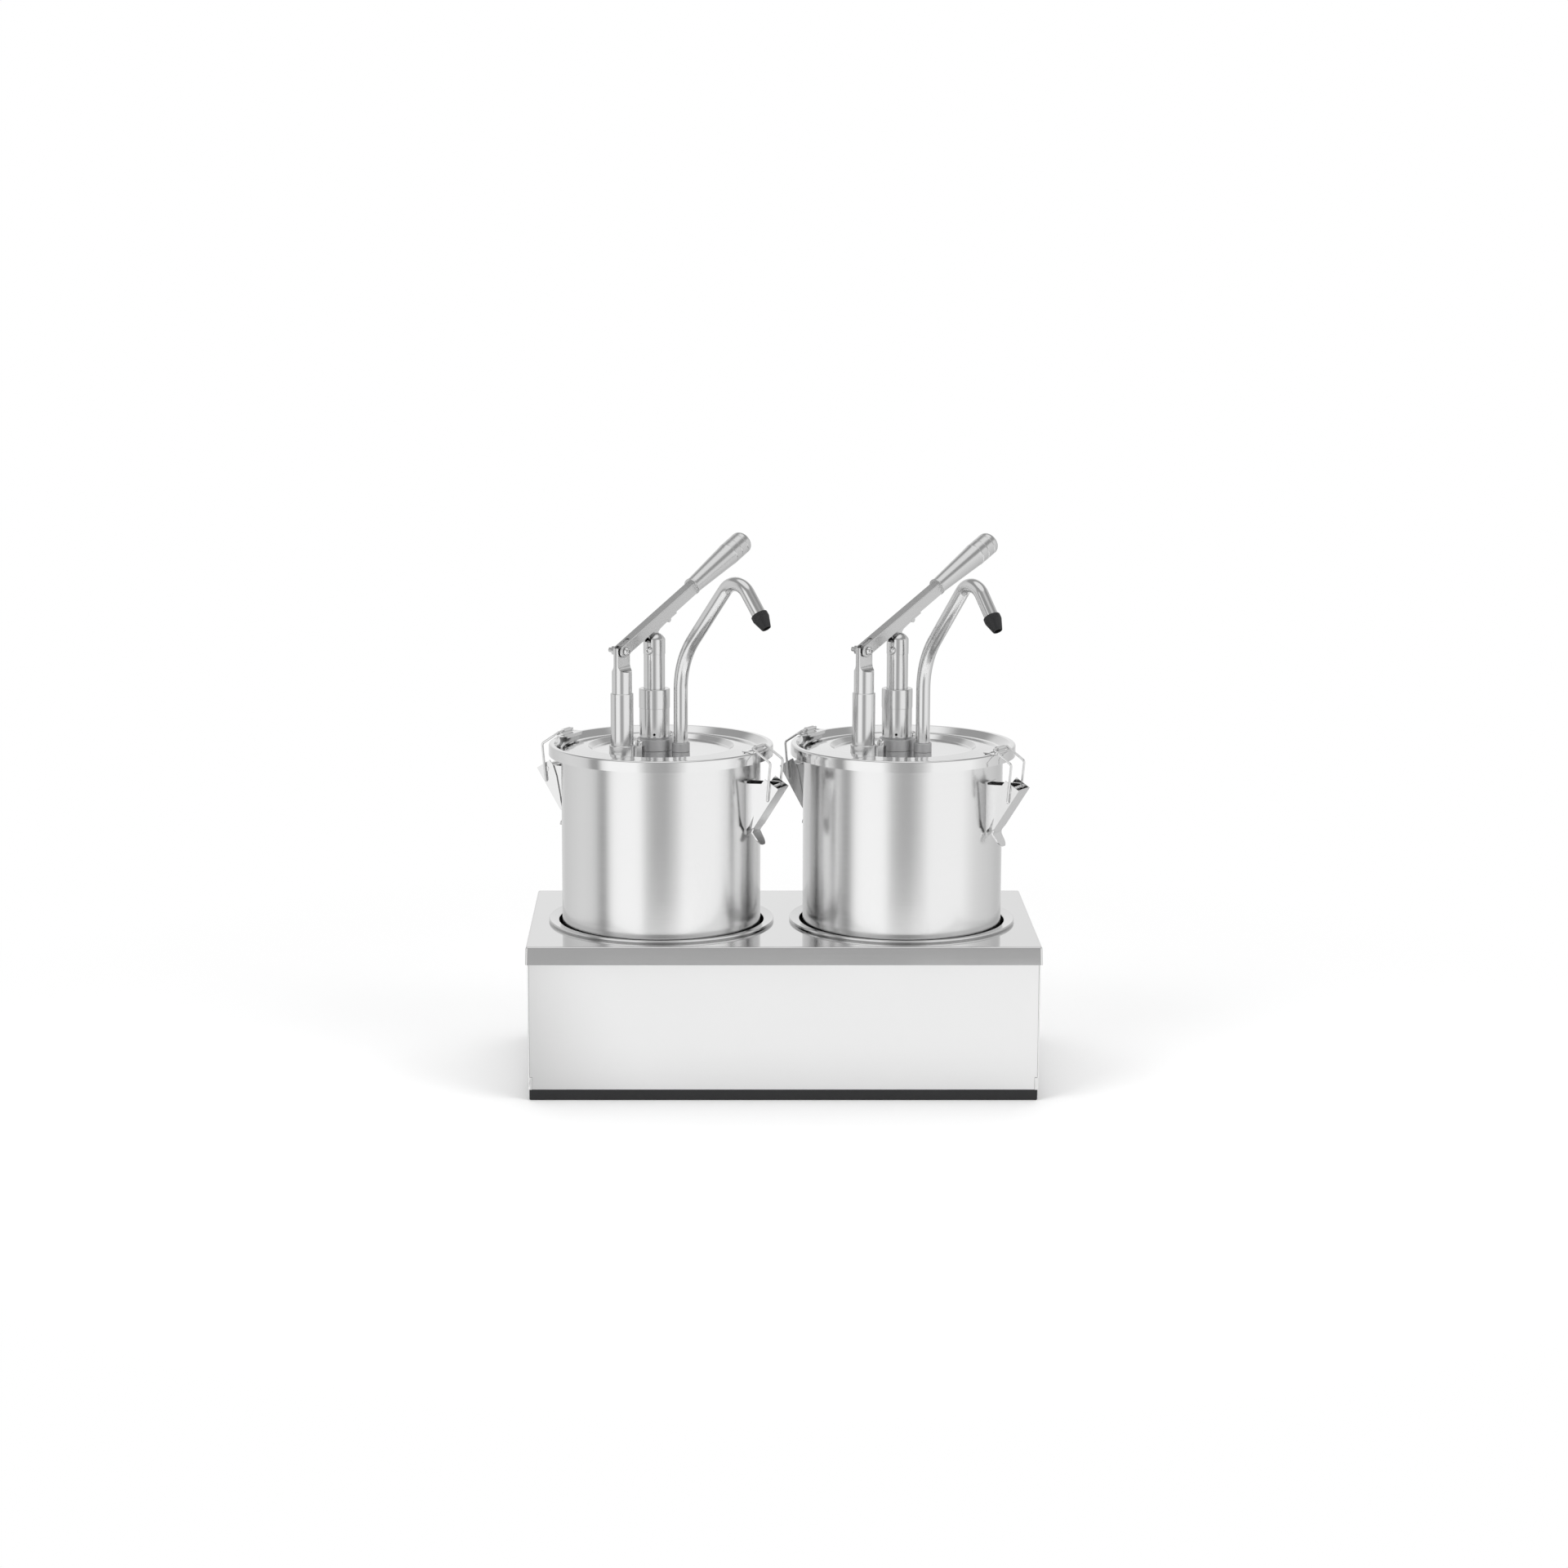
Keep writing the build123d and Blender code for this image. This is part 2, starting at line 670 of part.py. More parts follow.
def slot_shape(radius, half_thickness):
    """Straight slot with round ends, in the drive plate's plane."""
    near, far = slot_centres()
    side = (far - near).normalized()
    side = Vector(-side.Y, side.X) * radius
    corners = [near + side, far + side, far - side, near - side]
    points = [(corner.X, corner.Y) for corner in corners]
    shape = side_plate(points, -half_thickness, half_thickness)
    for centre in (near, far):
        low, high = -half_thickness, half_thickness
        shape += cross_pin(radius, centre.X, centre.Y, low, high)
    return shape


def drive_plate():
    """Plate in the channel whose slotted lobe carries the plunger's pin."""
    half = DRIVE_T / 2
    top = CHANNEL_H - CHANNEL_BELOW - CHANNEL_T
    low = -CHANNEL_BELOW - DRIVE_BELOW
    near, far = slot_centres()
    lobe_r = SLOT_HALF + LOBE_WALL
    outline = [
        (DRIVE_START, top),
        (DRIVE_START, -CHANNEL_BELOW),
        (near.X - lobe_r, near.Y),
        (far.X + lobe_r, far.Y),
        (DRIVE_NECK, low - DRIVE_NECK_DROP),
        (DRIVE_FLARE, low - DRIVE_NECK_DROP / 3),
        (KNOB_X - KNOB_R, low),
        (DRIVE_END, low),
        (DRIVE_END, top),
    ]
    shape = side_plate(outline, -half, half)
    shape += cross_pin(KNOB_R, KNOB_X, low, -half, half)
    shape += slot_shape(lobe_r, half)
    shape -= slot_shape(SLOT_HALF, half + 1)
    return in_lever(shape)


def handle_grip():
    """Turned grip with three fine rings and a square spigot in the channel."""
    length = GRIP_END - CHANNEL_END
    small, big = GRIP_SMALL_D / 2, GRIP_BIG_D / 2
    outline = [
        (0, 0),
        (GRIP_LIP_D / 2, 0),
        (GRIP_LIP_D / 2, GRIP_LIP_L),
        (small, GRIP_LIP_L + EDGE_BREAK),
        (big - GRIP_CROWN, length * GRIP_SWELL_AT),
    ]
    for place in sorted(GRIP_RINGS, reverse=True):
        at = length - place
        outline += [
            (big - GRIP_CROWN / 3, at - RING_GROOVE),
            (big - RING_GROOVE, at),
            (big - GRIP_CROWN / 3, at + RING_GROOVE),
        ]
    for step in range(GRIP_FACETS + 1):
        angle = radians(90 * step / GRIP_FACETS)
        radius = big - GRIP_DOME_H + GRIP_DOME_H * cos(angle)
        outline.append((radius, length - GRIP_DOME_H + GRIP_DOME_H * sin(angle)))
    outline.append((0, length))
    grip = Pos(CHANNEL_END, 0, GRIP_AXIS_Z) * Rot(0, 90, 0) * turned(outline)
    inside = CHANNEL_W / 2 - CHANNEL_T
    top = CHANNEL_H - CHANNEL_BELOW - CHANNEL_T
    low, start = -CHANNEL_BELOW + EDGE_BREAK, CHANNEL_END - SPIGOT_L
    grip += block(start, CHANNEL_END + 2, -inside, inside, low, top)
    return in_lever(grip)


# Pump

def lid_ferrules():
    """Matte rings round the pump's neck and the spout's foot."""
    pump = disc(FERRULE_D / 2, LID_PANEL_Z, FERRULE_TOP)
    pump = fillet(pump.edges().group_by(Axis.Z)[-1], EDGE_BREAK)
    pump -= disc(NECK_R, LID_PANEL_Z - 1, FERRULE_TOP + 1)
    spout = disc(SPOUT_RING_D / 2, LID_PANEL_Z, SPOUT_RING_TOP)
    spout = fillet(spout.edges().group_by(Axis.Z)[-1], EDGE_BREAK)
    spout -= disc(TUBE_R + SWIVEL_GAP, LID_PANEL_Z - 1, SPOUT_RING_TOP + 1)
    return [on_lid(pump, PUMP_X, PUMP_Y), on_lid(spout, SPOUT_X, SPOUT_Y)]


def pump_flange():
    """Long flat flange under the lid that takes the two lid bolts."""
    (x0, y0), (x1, y1) = bolt_places()
    span = hypot(x1 - x0, y1 - y0)
    low = LID_UNDER - PUMP_FLANGE_T
    bar = SlotCenterToCenter(span, 2 * PUMP_FLANGE_END_R)
    plate = Pos(0, 0, low) * extrude(bar, PUMP_FLANGE_T)
    plate += disc(PUMP_FLANGE_W / 2, low, LID_UNDER)
    for x in (-span / 2, span / 2):
        plate -= disc(BOLT_SHANK_R, low - 1, LID_UNDER + 1, x)
    return Rot(0, 0, degrees(atan2(y1 - y0, x1 - x0))) * plate


def pump_barrel():
    """Long barrel through the lid, with a spring seat and a flange."""
    shape = turned(
        [
            (BARREL_BORE_R, BLOCK_TOP),
            (NECK_R, BLOCK_TOP),
            (NECK_R, FERRULE_TOP),
            (BARREL_D / 2, BARREL_FLARE_Z),
            (BARREL_D / 2, BARREL_TOP),
            (BARREL_BORE_R, BARREL_TOP),
            (BARREL_BORE_R, SEAT_TOP),
            (STEM_R + STEM_GAP, SEAT_TOP),
            (STEM_R + STEM_GAP, SEAT_TOP - SEAT_H),
            (BARREL_BORE_R, SEAT_TOP - SEAT_H),
        ]
    )
    flange = pump_flange() - disc(NECK_R - 0.2, LID_UNDER - PUMP_FLANGE_T - 1, LID_UNDER + 1)
    shape += flange
    vent = Pos(0, 0, VENT_Z) * Rot(90, 0, 0) * Cylinder(VENT_R, BARREL_D, align=CENTRED)
    return on_lid(shape - vent, PUMP_X, PUMP_Y)


def barrel_collar():
    """Gland on top of the barrel that guides the plunger rod."""
    shape = disc(GLAND_D / 2, BARREL_TOP, GLAND_TOP)
    shape = fillet(shape.edges().group_by(Axis.Z)[-1], EDGE_BREAK)
    shape += disc(BARREL_BORE_R, BARREL_TOP - GLAND_SPIGOT, BARREL_TOP)
    shape -= disc(ROD_D / 2 + RUN_GAP, BARREL_TOP - GLAND_SPIGOT - 1, GLAND_TOP + 1)
    return on_lid(shape, PUMP_X, PUMP_Y)


def plunger_rod():
    """Rod with a spigot for the cap, a thin stem and the piston."""
    shape = turned(
        [
            (0, PISTON_TOP - PISTON_H),
            (PISTON_R, PISTON_TOP - PISTON_H),
            (PISTON_R, PISTON_TOP),
            (STEM_R, PISTON_TOP),
            (STEM_R, ROD_SHOULDER),
            (ROD_D / 2, ROD_SHOULDER),
            (ROD_D / 2, CAP_BOTTOM),
            (SPIGOT_R, CAP_BOTTOM),
            (SPIGOT_R, SPIGOT_TOP),
            (0, SPIGOT_TOP),
        ]
    )
    return on_lid(shape, PUMP_X, PUMP_Y)


def in_plunger(shape):
    """Turn a piece made along X to the lever's heading, on the pump's axis."""
    return Pos(PUMP_X, PUMP_Y, 0) * Rot(0, 0, LEVER_HEADING) * shape


def plunger_cap():
    """Domed cap with an open slot that the drive plate dips into."""
    radius = CAP_D / 2
    dome_r = (radius**2 + CAP_DOME_H**2) / (2 * CAP_DOME_H)
    shape = disc(radius, CAP_BOTTOM, CAP_TOP)
    shape &= Pos(0, 0, CAP_TOP - dome_r) * Sphere(dome_r) + disc(
        radius, CAP_BOTTOM, CAP_TOP - CAP_DOME_H
    )
    half = CAP_SLOT_W / 2
    wall = CAP_SLOT_WALL - radius
    shape -= block(wall, radius + 1, -half, half, CAP_SLOT_FLOOR, CAP_TOP + 1)
    shape -= block(-radius - 1, wall, -half, half, CAP_SLOT_SILL, CAP_TOP + 1)
    shape -= disc(SPIGOT_R, CAP_BOTTOM - 1, SPIGOT_TOP)
    pin_z = PIVOT_Z + DRIVE_PIN_RISE
    shape -= cross_pin(DRIVE_PIN_D / 2, 0, pin_z, -DRIVE_PIN_FRONT, radius + 1)
    screw_hole = Cylinder(SCREW_D / 2, radius + 1, align=CENTRED)
    return in_plunger(shape - at_set_screw(screw_hole))


def at_set_screw(shape):
    """Turn a piece made along Z to the set screw's line."""
    return Pos(0, 0, SCREW_Z) * Rot(0, 0, SCREW_TURN) * Rot(0, -90, 0) * shape


def cap_fasteners():
    """Drive pin across the cap, pressed in from behind, and set screw."""
    pin_z = PIVOT_Z + DRIVE_PIN_RISE
    pin = cross_pin(DRIVE_PIN_D / 2, 0, pin_z, -DRIVE_PIN_FRONT, DRIVE_PIN_BACK)
    reach = CAP_D / 2
    overlap = SCREW_HEAD_H / 4
    shank = disc(SCREW_D / 2, SPIGOT_R, reach + overlap)
    screw = shank + Pos(0, 0, reach) * socket_head(SCREW_HEAD_D, SCREW_HEAD_H)
    return [in_plunger(pin), in_plunger(at_set_screw(screw))]


def valve_block():
    """Block joining barrel and riser, with its two loose check balls."""
    dx, dy = SPOUT_X - PUMP_X, SPOUT_Y - PUMP_Y
    span = hypot(dx, dy)
    shape = disc(BLOCK_R, BLOCK_BOTTOM, BLOCK_TOP)
    shape += disc(RISER_R, BLOCK_BOTTOM, BLOCK_TOP, span)
    shape += block(0, span, -RISER_R, RISER_R, BLOCK_BOTTOM, BLOCK_TOP)
    shape -= disc(INTAKE_BORE_R, BLOCK_BOTTOM - 1, SEAT_RING_Z)
    shape -= disc(CHAMBER_R, SEAT_RING_Z, BLOCK_TOP + 1)
    middle = (SEAT_RING_Z + BLOCK_TOP) / 2
    passage = Rot(0, 90, 0) * Cylinder(PASSAGE_R, span, align=CENTRED)
    shape -= Pos(0, 0, middle) * passage
    shape -= disc(RISER_BORE_R, middle, BLOCK_TOP + 1, span)
    suction_rise = sqrt(BALL_R**2 - INTAKE_BORE_R**2)
    suction = Pos(0, 0, SEAT_RING_Z + suction_rise) * Sphere(BALL_R)
    ball_rise = sqrt(DISCHARGE_BALL_R**2 - PASSAGE_R**2)
    discharge = Pos(span, 0, middle + PASSAGE_R + ball_rise) * Sphere(DISCHARGE_BALL_R)
    turn = Rot(0, 0, degrees(atan2(dy, dx)))
    return [on_lid(turn * piece, PUMP_X, PUMP_Y) for piece in (shape, suction, discharge)]


def pump_tubes():
    """Intake tube to the pot's floor and riser tube up to the spout."""
    intake = disc(INTAKE_R, INTAKE_END, BLOCK_BOTTOM)
    intake -= disc(INTAKE_BORE_R, INTAKE_END - 1, BLOCK_BOTTOM + 1)
    riser = disc(RISER_R, BLOCK_TOP, LID_UNDER)
    riser -= disc(RISER_BORE_R, BLOCK_TOP - 1, TUBE_FOOT + 1)
    riser -= disc(TUBE_R + SWIVEL_GAP, TUBE_FOOT, LID_UNDER + 1)
    return [on_lid(intake, PUMP_X, PUMP_Y), on_lid(riser, SPOUT_X, SPOUT_Y)]


def return_spring():
    """Spring between the barrel's seat and the rod's shoulder, in short chords."""
    height = ROD_SHOULDER - SEAT_TOP - 2 * SPRING_WIRE_R
    steps = round(SPRING_TURNS * SPRING_CHORDS)
    points = []
    for step in range(steps + 1):
        angle = 2 * pi * step / SPRING_CHORDS
        x, y = SPRING_MEAN_R * cos(angle), SPRING_MEAN_R * sin(angle)
        points.append((x, y, height * step / steps))
    path = Polyline(*points)
    start = Plane(origin=path @ 0, z_dir=path % 0)
    section = start * RegularPolygon(SPRING_WIRE_R, SPRING_SIDES)
    coil = sweep(section, path=path, transition=Transition.RIGHT)
    return Pos(PUMP_X, PUMP_Y, SEAT_TOP + SPRING_WIRE_R) * coil


# Spout

def spout_corners():
    """Corner points of the spout's centre line as reach and height."""
    tilt = radians(BEND_TILT)
    first = BEND_Z + BEND_R * tan(tilt / 2)
    top_turn = radians(90 - BEND_TILT + DESCENT)
    run = BEND_R * tan(tilt / 2) + RISE_L + TOP_BEND_R * tan(top_turn / 2)
    peak = (run * sin(tilt), first + run * cos(tilt))
    fall = TOP_BEND_R * tan(top_turn / 2) + FALL_L
    down = radians(DESCENT)
    end = (peak[0] + fall * cos(down), peak[1] - fall * sin(down))
    return [(0, TUBE_FOOT), (0, first), peak, end]


def at_spout(shape, side):
    """Turn a piece made along X to the spout's heading."""
    heading = RIGHT_SPOUT_HEADING if side == "right" else SPOUT_HEADING
    return Pos(SPOUT_X, SPOUT_Y, 0) * Rot(0, 0, heading) * shape


def spout_tube(side):
    """Bent delivery tube that turns in the riser."""
    path = rounded_path([(s, 0, z) for s, z in spout_corners()], (BEND_R, TOP_BEND_R))
    return at_spout(swept_rod(path, TUBE_R) - swept_rod(path, TUBE_BORE_R), side)


def nozzle(side):
    """Tapered rubber nozzle pushed over the spout's end."""
    shape = turned(
        [
            (TUBE_R, -NOZZLE_SLEEVE),
            (NOZZLE_BIG_R - 0.5, -NOZZLE_SLEEVE),
            (NOZZLE_BIG_R, -NOZZLE_SLEEVE + 1.2),
            (NOZZLE_BIG_R, 1.6),
            (NOZZLE_BIG_R - 0.5, 3.2),
            (NOZZLE_TIP_R + 0.3, NOZZLE_L - 0.6),
            (NOZZLE_TIP_R, NOZZLE_L),
            (NOZZLE_HOLE_R, NOZZLE_L),
            (NOZZLE_HOLE_R, 2.0),
            (TUBE_BORE_R, 0),
            (TUBE_R, 0),
        ]
    )
    reach, height = spout_corners()[-1]
    placed = Pos(reach, 0, height) * Rot(0, 90 + DESCENT, 0) * shape
    return at_spout(placed, side)


# Latches, made at azimuth 0: X is the radius and Y goes round the pot

def latch_bracket():
    """Wall plate with two ears that hold the latch lever's rivet."""
    plate = disc(POT_R + BRACKET_T, BRACKET_LOW, BRACKET_HIGH)
    plate -= disc(POT_R, BRACKET_LOW - 1, BRACKET_HIGH + 1)
    plate &= block(0, POT_R + 9, -EAR_OUT_T, EAR_OUT_T, BRACKET_LOW, BRACKET_HIGH)
    outline = [
        (POT_R, BRACKET_LOW + 4),
        (POT_R, BRACKET_HIGH - 2),
        (LEVER_PIN_R - 5, BRACKET_HIGH - 1.2),
        (LEVER_PIN_R + 1, LEVER_PIN_Z + 3.6),
        (LEVER_PIN_R + 3.4, LEVER_PIN_Z),
        (LEVER_PIN_R + 1, LEVER_PIN_Z - 3.6),
        (LEVER_PIN_R - 6, LEVER_PIN_Z - 7.5),
        (POT_R + 3.5, BRACKET_LOW + 8),
    ]
    for low, high in ((-EAR_OUT_T, -EAR_IN_T), (EAR_IN_T, EAR_OUT_T)):
        ear = side_plate(outline, low, high)
        ear -= cross_pin(RIVET_R, LEVER_PIN_R, LEVER_PIN_Z, low - 1, high + 1)
        plate += ear - disc(POT_R, BRACKET_LOW, BRACKET_HIGH)
    return plate


def latch_rivet():
    """Rivet through both ears and both cheeks, with thin heads."""
    end = CHEEK_OUT_T + RUN_GAP
    rivet = cross_pin(RIVET_R, LEVER_PIN_R, LEVER_PIN_Z, -end, end)
    for low in (-end - RIVET_HEAD_H, end):
        rivet += cross_pin(RIVET_HEAD_R, LEVER_PIN_R, LEVER_PIN_Z, low, low + RIVET_HEAD_H)
    return rivet


def latch_lever():
    """Tapered channel with a finger tab at its lower end."""
    cheek = [WEB_TOP, *CHEEK_INNER_EDGE, WEB_LOW]
    shape = side_plate(cheek, -CHEEK_OUT_T, CHEEK_OUT_T)
    long_way = Vector(WEB_LOW[0] - WEB_TOP[0], WEB_LOW[1] - WEB_TOP[1]).normalized()
    inward = Vector(long_way.Y, -long_way.X) * LATCH_SHEET
    top = (WEB_TOP[0] + inward.X, WEB_TOP[1] + inward.Y)
    low = (WEB_LOW[0] + inward.X, WEB_LOW[1] + inward.Y)
    past_top = (top[0] - long_way.X * 9, top[1] - long_way.Y * 9)
    past_low = (low[0] + long_way.X * 9, low[1] + long_way.Y * 9)
    hollow = [past_top, (80, past_top[1]), (80, past_low[1]), past_low]
    shape -= side_plate(hollow, -CHEEK_IN_T, CHEEK_IN_T)
    for pin_r, pin_z, size in (
        (LEVER_PIN_R, LEVER_PIN_Z, RIVET_R),
        (BAIL_PIN_R, BAIL_PIN_Z, WIRE_R),
    ):
        shape -= cross_pin(size + RUN_GAP, pin_r, pin_z, -CHEEK_OUT_T - 1, CHEEK_OUT_T + 1)
    return shape + finger_tab()


def finger_tab():
    """Rounded tab that bends outward below the latch lever."""
    outline = [
        WEB_LOW,
        (WEB_LOW[0] - LATCH_SHEET * 1.1, WEB_LOW[1]),
        (TAB_BEND[0] - LATCH_SHEET, TAB_BEND[1]),
        (TAB_END_R - LATCH_SHEET, TAB_END_Z),
        (TAB_END_R, TAB_END_Z + 0.4),
        (TAB_BEND[0] + LATCH_SHEET * 0.6, TAB_BEND[1] + 0.4),
    ]
    tab = side_plate(outline, -CHEEK_OUT_T, CHEEK_OUT_T)
    low_round = Plane.YZ * Pos(0, TAB_END_Z + TAB_HALF_W) * Circle(TAB_HALF_W)
    shoulder_z = WEB_LOW[1] - 2.0
    taper = Plane.YZ * make_face(
        Polyline(
            (-TAB_HALF_W, TAB_END_Z + TAB_HALF_W),
            (TAB_HALF_W, TAB_END_Z + TAB_HALF_W),
            (TAB_HALF_W + 1.6, shoulder_z),
            (CHEEK_OUT_T, WEB_LOW[1] + 1),
            (-CHEEK_OUT_T, WEB_LOW[1] + 1),
            (-TAB_HALF_W - 1.6, shoulder_z),
            close=True,
        )
    )
    outline_bar = extrude(low_round + taper, WEB_TOP[0])
    return tab & outline_bar


def latch_bail():
    """Wire bail and its hook plate, as two solids of one node."""
    inner = CHEEK_IN_T + RUN_GAP
    points = [
        (BAIL_PIN_R, -inner, BAIL_PIN_Z),
        (BAIL_PIN_R, -WIRE_T, BAIL_PIN_Z),
        (BAIL_CORNER_R, -WIRE_T, BAIL_CORNER_Z),
        (BAIL_TOP_R, -WIRE_T, BAIL_TOP_Z),
        (BAIL_TOP_R, WIRE_T, BAIL_TOP_Z),
        (BAIL_CORNER_R, WIRE_T, BAIL_CORNER_Z),
        (BAIL_PIN_R, WIRE_T, BAIL_PIN_Z),
        (BAIL_PIN_R, inner, BAIL_PIN_Z),
    ]
    tight = WIRE_R * 1.3
    radii = (tight, WIRE_BEND_R, tight, tight, WIRE_BEND_R, tight)
    wire = swept_rod(rounded_path(points, radii), WIRE_R)
    return [wire, hook_plate()]


def hook_plate():
    """Plate that lies over the lid's rim and curls round the bail."""
    low = LID_RIM_TOP + HOOK_GAP
    top = low + HOOK_SHEET
    half = HOOK_HALF_W
    plate = block(HOOK_LIP_R - HOOK_SHEET, HOOK_OUT_R, -half, half, low, top)
    plate = fillet(plate.edges().filter_by(Axis.Z), 2.5)
    lip_half = half - 3.5
    lip_in = HOOK_LIP_R - HOOK_SHEET
    plate += block(lip_in, HOOK_LIP_R, -lip_half, lip_half, HOOK_LIP_Z, top)
    for place in (-WINDOW_T, WINDOW_T):
        x0, x1 = WINDOW_R - WINDOW_L / 2, WINDOW_R + WINDOW_L / 2
        y0, y1 = place - WINDOW_W / 2, place + WINDOW_W / 2
        plate -= block(x0, x1, y0, y1, low - 1, top + 1)
    curl_r = WIRE_R + HOOK_SHEET
    curl = cross_pin(curl_r, BAIL_TOP_R, BAIL_TOP_Z, -CURL_HALF_W, CURL_HALF_W)
    foot_r = curl_r * 0.8
    x0, x1 = BAIL_TOP_R - foot_r, BAIL_TOP_R + foot_r
    curl += block(x0, x1, -CURL_HALF_W, CURL_HALF_W, low, BAIL_TOP_Z)
    plate += curl
    return plate - cross_pin(WIRE_R, BAIL_TOP_R, BAIL_TOP_Z, -WIRE_T, WIRE_T)


def round_the_pot(shape, which):
    """Turn a latch piece from azimuth 0 to its place."""
    return Rot(0, 0, LATCH_AZIMUTH[which]) * shape


def placed(shape, side):
    """Move a piece from the pot's own frame to its place on the base."""
    place = Pos(SIDE_SIGN[side] * POT_X, POT_Y, 0) * Rot(0, 0, UNIT_TURN[side])
    return place * shape


def write(name, shapes):
    """Write one node, as one solid or as a group of separate solids."""
    if not isinstance(shapes, list):
        shapes = [shapes]
    solids = [solid for shape in shapes for solid in shape.solids()]
    shape = solids[0] if len(solids) == 1 else Compound(children=solids)
    export_step(shape, f"parts/{name}.step")


def write_base():
    """The pieces of the base."""
    write("top_plate", top_plate())
    write("collar_rings", collar_rings())
    write("body_wrap", body_wrap())
    write("side_panels", side_panels())
    write("base_frame", base_frame())


def unit_pieces(side):
    """Every piece of one pot with its pump, by node name."""
    bracket, rivet, lever, bail = latch_bracket(), latch_rivet(), latch_lever(), latch_bail()
    pieces = {
        "pot": pot(),
        "lid_gasket": lid_gasket(),
        "lid": lid(),
        "lid_bolts": lid_bolts(),
        "post": post(),
        "post_collar": post_collar(),
        "pivot_bolt": pivot_bolt(),
        "lever_channel": lever_channel(),
        "drive_plate": drive_plate(),
        "handle_grip": handle_grip(),
        "lid_ferrules": lid_ferrules(),
        "pump_barrel": pump_barrel(),
        "barrel_collar": barrel_collar(),
        "plunger_rod": plunger_rod(),
        "plunger_cap": plunger_cap(),
        "cap_fasteners": cap_fasteners(),
        "valve_block": valve_block(),
        "pump_tubes": pump_tubes(),
        "return_spring": return_spring(),
        "spout_tube": spout_tube(side),
        "nozzle": nozzle(side),
        "latch_brackets": [round_the_pot(bracket, which) for which in LATCH_AZIMUTH],
        "latch_pins": [round_the_pot(rivet, which) for which in LATCH_AZIMUTH],
    }
    for which in LATCH_AZIMUTH:
        pieces[f"latch_lever_{which}"] = round_the_pot(lever, which)
        pieces[f"latch_bail_{which}"] = [round_the_pot(piece, which) for piece in bail]
    return pieces


def write_unit(side):
    """Place and write one unit."""
    for name, shapes in unit_pieces(side).items():
        if not isinstance(shapes, list):
            shapes = [shapes]
        write(f"{name}_{side}", [placed(shape, side) for shape in shapes])


write_base()
for unit_side in ("left", "right"):
    write_unit(unit_side)
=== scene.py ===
"""Twin lever-pump sauce dispenser: finishes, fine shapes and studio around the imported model.

Metres, +Z up, front towards -Y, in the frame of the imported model.
"""

import json
import math

import bpy
from mathutils import Matrix, Vector

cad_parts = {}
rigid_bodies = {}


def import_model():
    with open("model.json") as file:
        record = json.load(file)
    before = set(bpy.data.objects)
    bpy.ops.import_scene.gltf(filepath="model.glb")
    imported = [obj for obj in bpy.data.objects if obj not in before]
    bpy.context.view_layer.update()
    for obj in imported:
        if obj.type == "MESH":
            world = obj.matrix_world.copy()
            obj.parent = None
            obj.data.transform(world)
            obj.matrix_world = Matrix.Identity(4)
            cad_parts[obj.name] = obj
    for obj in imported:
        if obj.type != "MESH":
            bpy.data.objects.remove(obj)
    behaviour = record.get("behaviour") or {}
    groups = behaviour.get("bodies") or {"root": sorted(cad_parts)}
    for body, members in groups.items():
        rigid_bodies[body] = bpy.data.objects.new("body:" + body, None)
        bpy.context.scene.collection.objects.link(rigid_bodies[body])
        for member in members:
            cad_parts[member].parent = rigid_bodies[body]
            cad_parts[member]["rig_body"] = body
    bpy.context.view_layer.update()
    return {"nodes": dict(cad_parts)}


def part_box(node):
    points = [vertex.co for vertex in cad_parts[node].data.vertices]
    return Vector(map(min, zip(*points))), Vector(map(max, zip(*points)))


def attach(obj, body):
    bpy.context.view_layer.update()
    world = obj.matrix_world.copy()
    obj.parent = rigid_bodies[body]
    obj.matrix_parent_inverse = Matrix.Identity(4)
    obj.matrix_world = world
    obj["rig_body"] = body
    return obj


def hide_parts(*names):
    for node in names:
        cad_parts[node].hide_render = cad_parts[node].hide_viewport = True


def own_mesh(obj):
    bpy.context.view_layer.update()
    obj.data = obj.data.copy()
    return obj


bl_info = {
    "name": "Twin lever-pump sauce dispenser",
    "version": (1, 0, 0),
    "blender": (4, 5, 0),
    "location": "View3D > Sidebar > Dispenser",
    "description": "Presses, turns and finishes the visible pieces of a two-pot sauce dispenser",
    "category": "Object",
}

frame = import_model()
SIDES = ("left", "right")
MM = 0.001
POLE = 1e-7  # stands for a radius of nothing where an outline meets its axis
MERGE = 1e-6
NODE_MERGE = 2e-6
FLAT_WITHIN = math.radians(0.3)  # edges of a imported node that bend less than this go

PIVOT_HEIGHT = 371.0 * MM
LEVER_REST = math.radians(24)
GRIP_START, GRIP_RISE = 106.8 * MM, 1.2 * MM  # along the lever from its pivot, and off its middle line

TUBE_RADIUS, TUBE_WALL, TUBE_SIDES = 6.0 * MM, 1.2 * MM, 64
BEND_STEPS = 24
SPOUT_RISE = 334.8 * MM  # height at which the straight foot ends
SPOUT_DESCENT = math.radians(51.6)
SPOUT_BENDS = (  # radius, angle and the straight run after it
    (69.2 * MM, math.radians(39.4), 58.7 * MM),
    (17.0 * MM, math.radians(50.6) + SPOUT_DESCENT, 23.1 * MM),
)
SPOUT_FEET = {"left": (-86.5 * MM, -16.2 * MM, -45.0), "right": (119.572 * MM, -17.644 * MM, -56.7)}
SPOUT_END = Matrix.Translation((93.793 * MM, 0, 405.749 * MM)) @ Matrix.Rotation(
    math.radians(90) + SPOUT_DESCENT, 4, "Y"
)

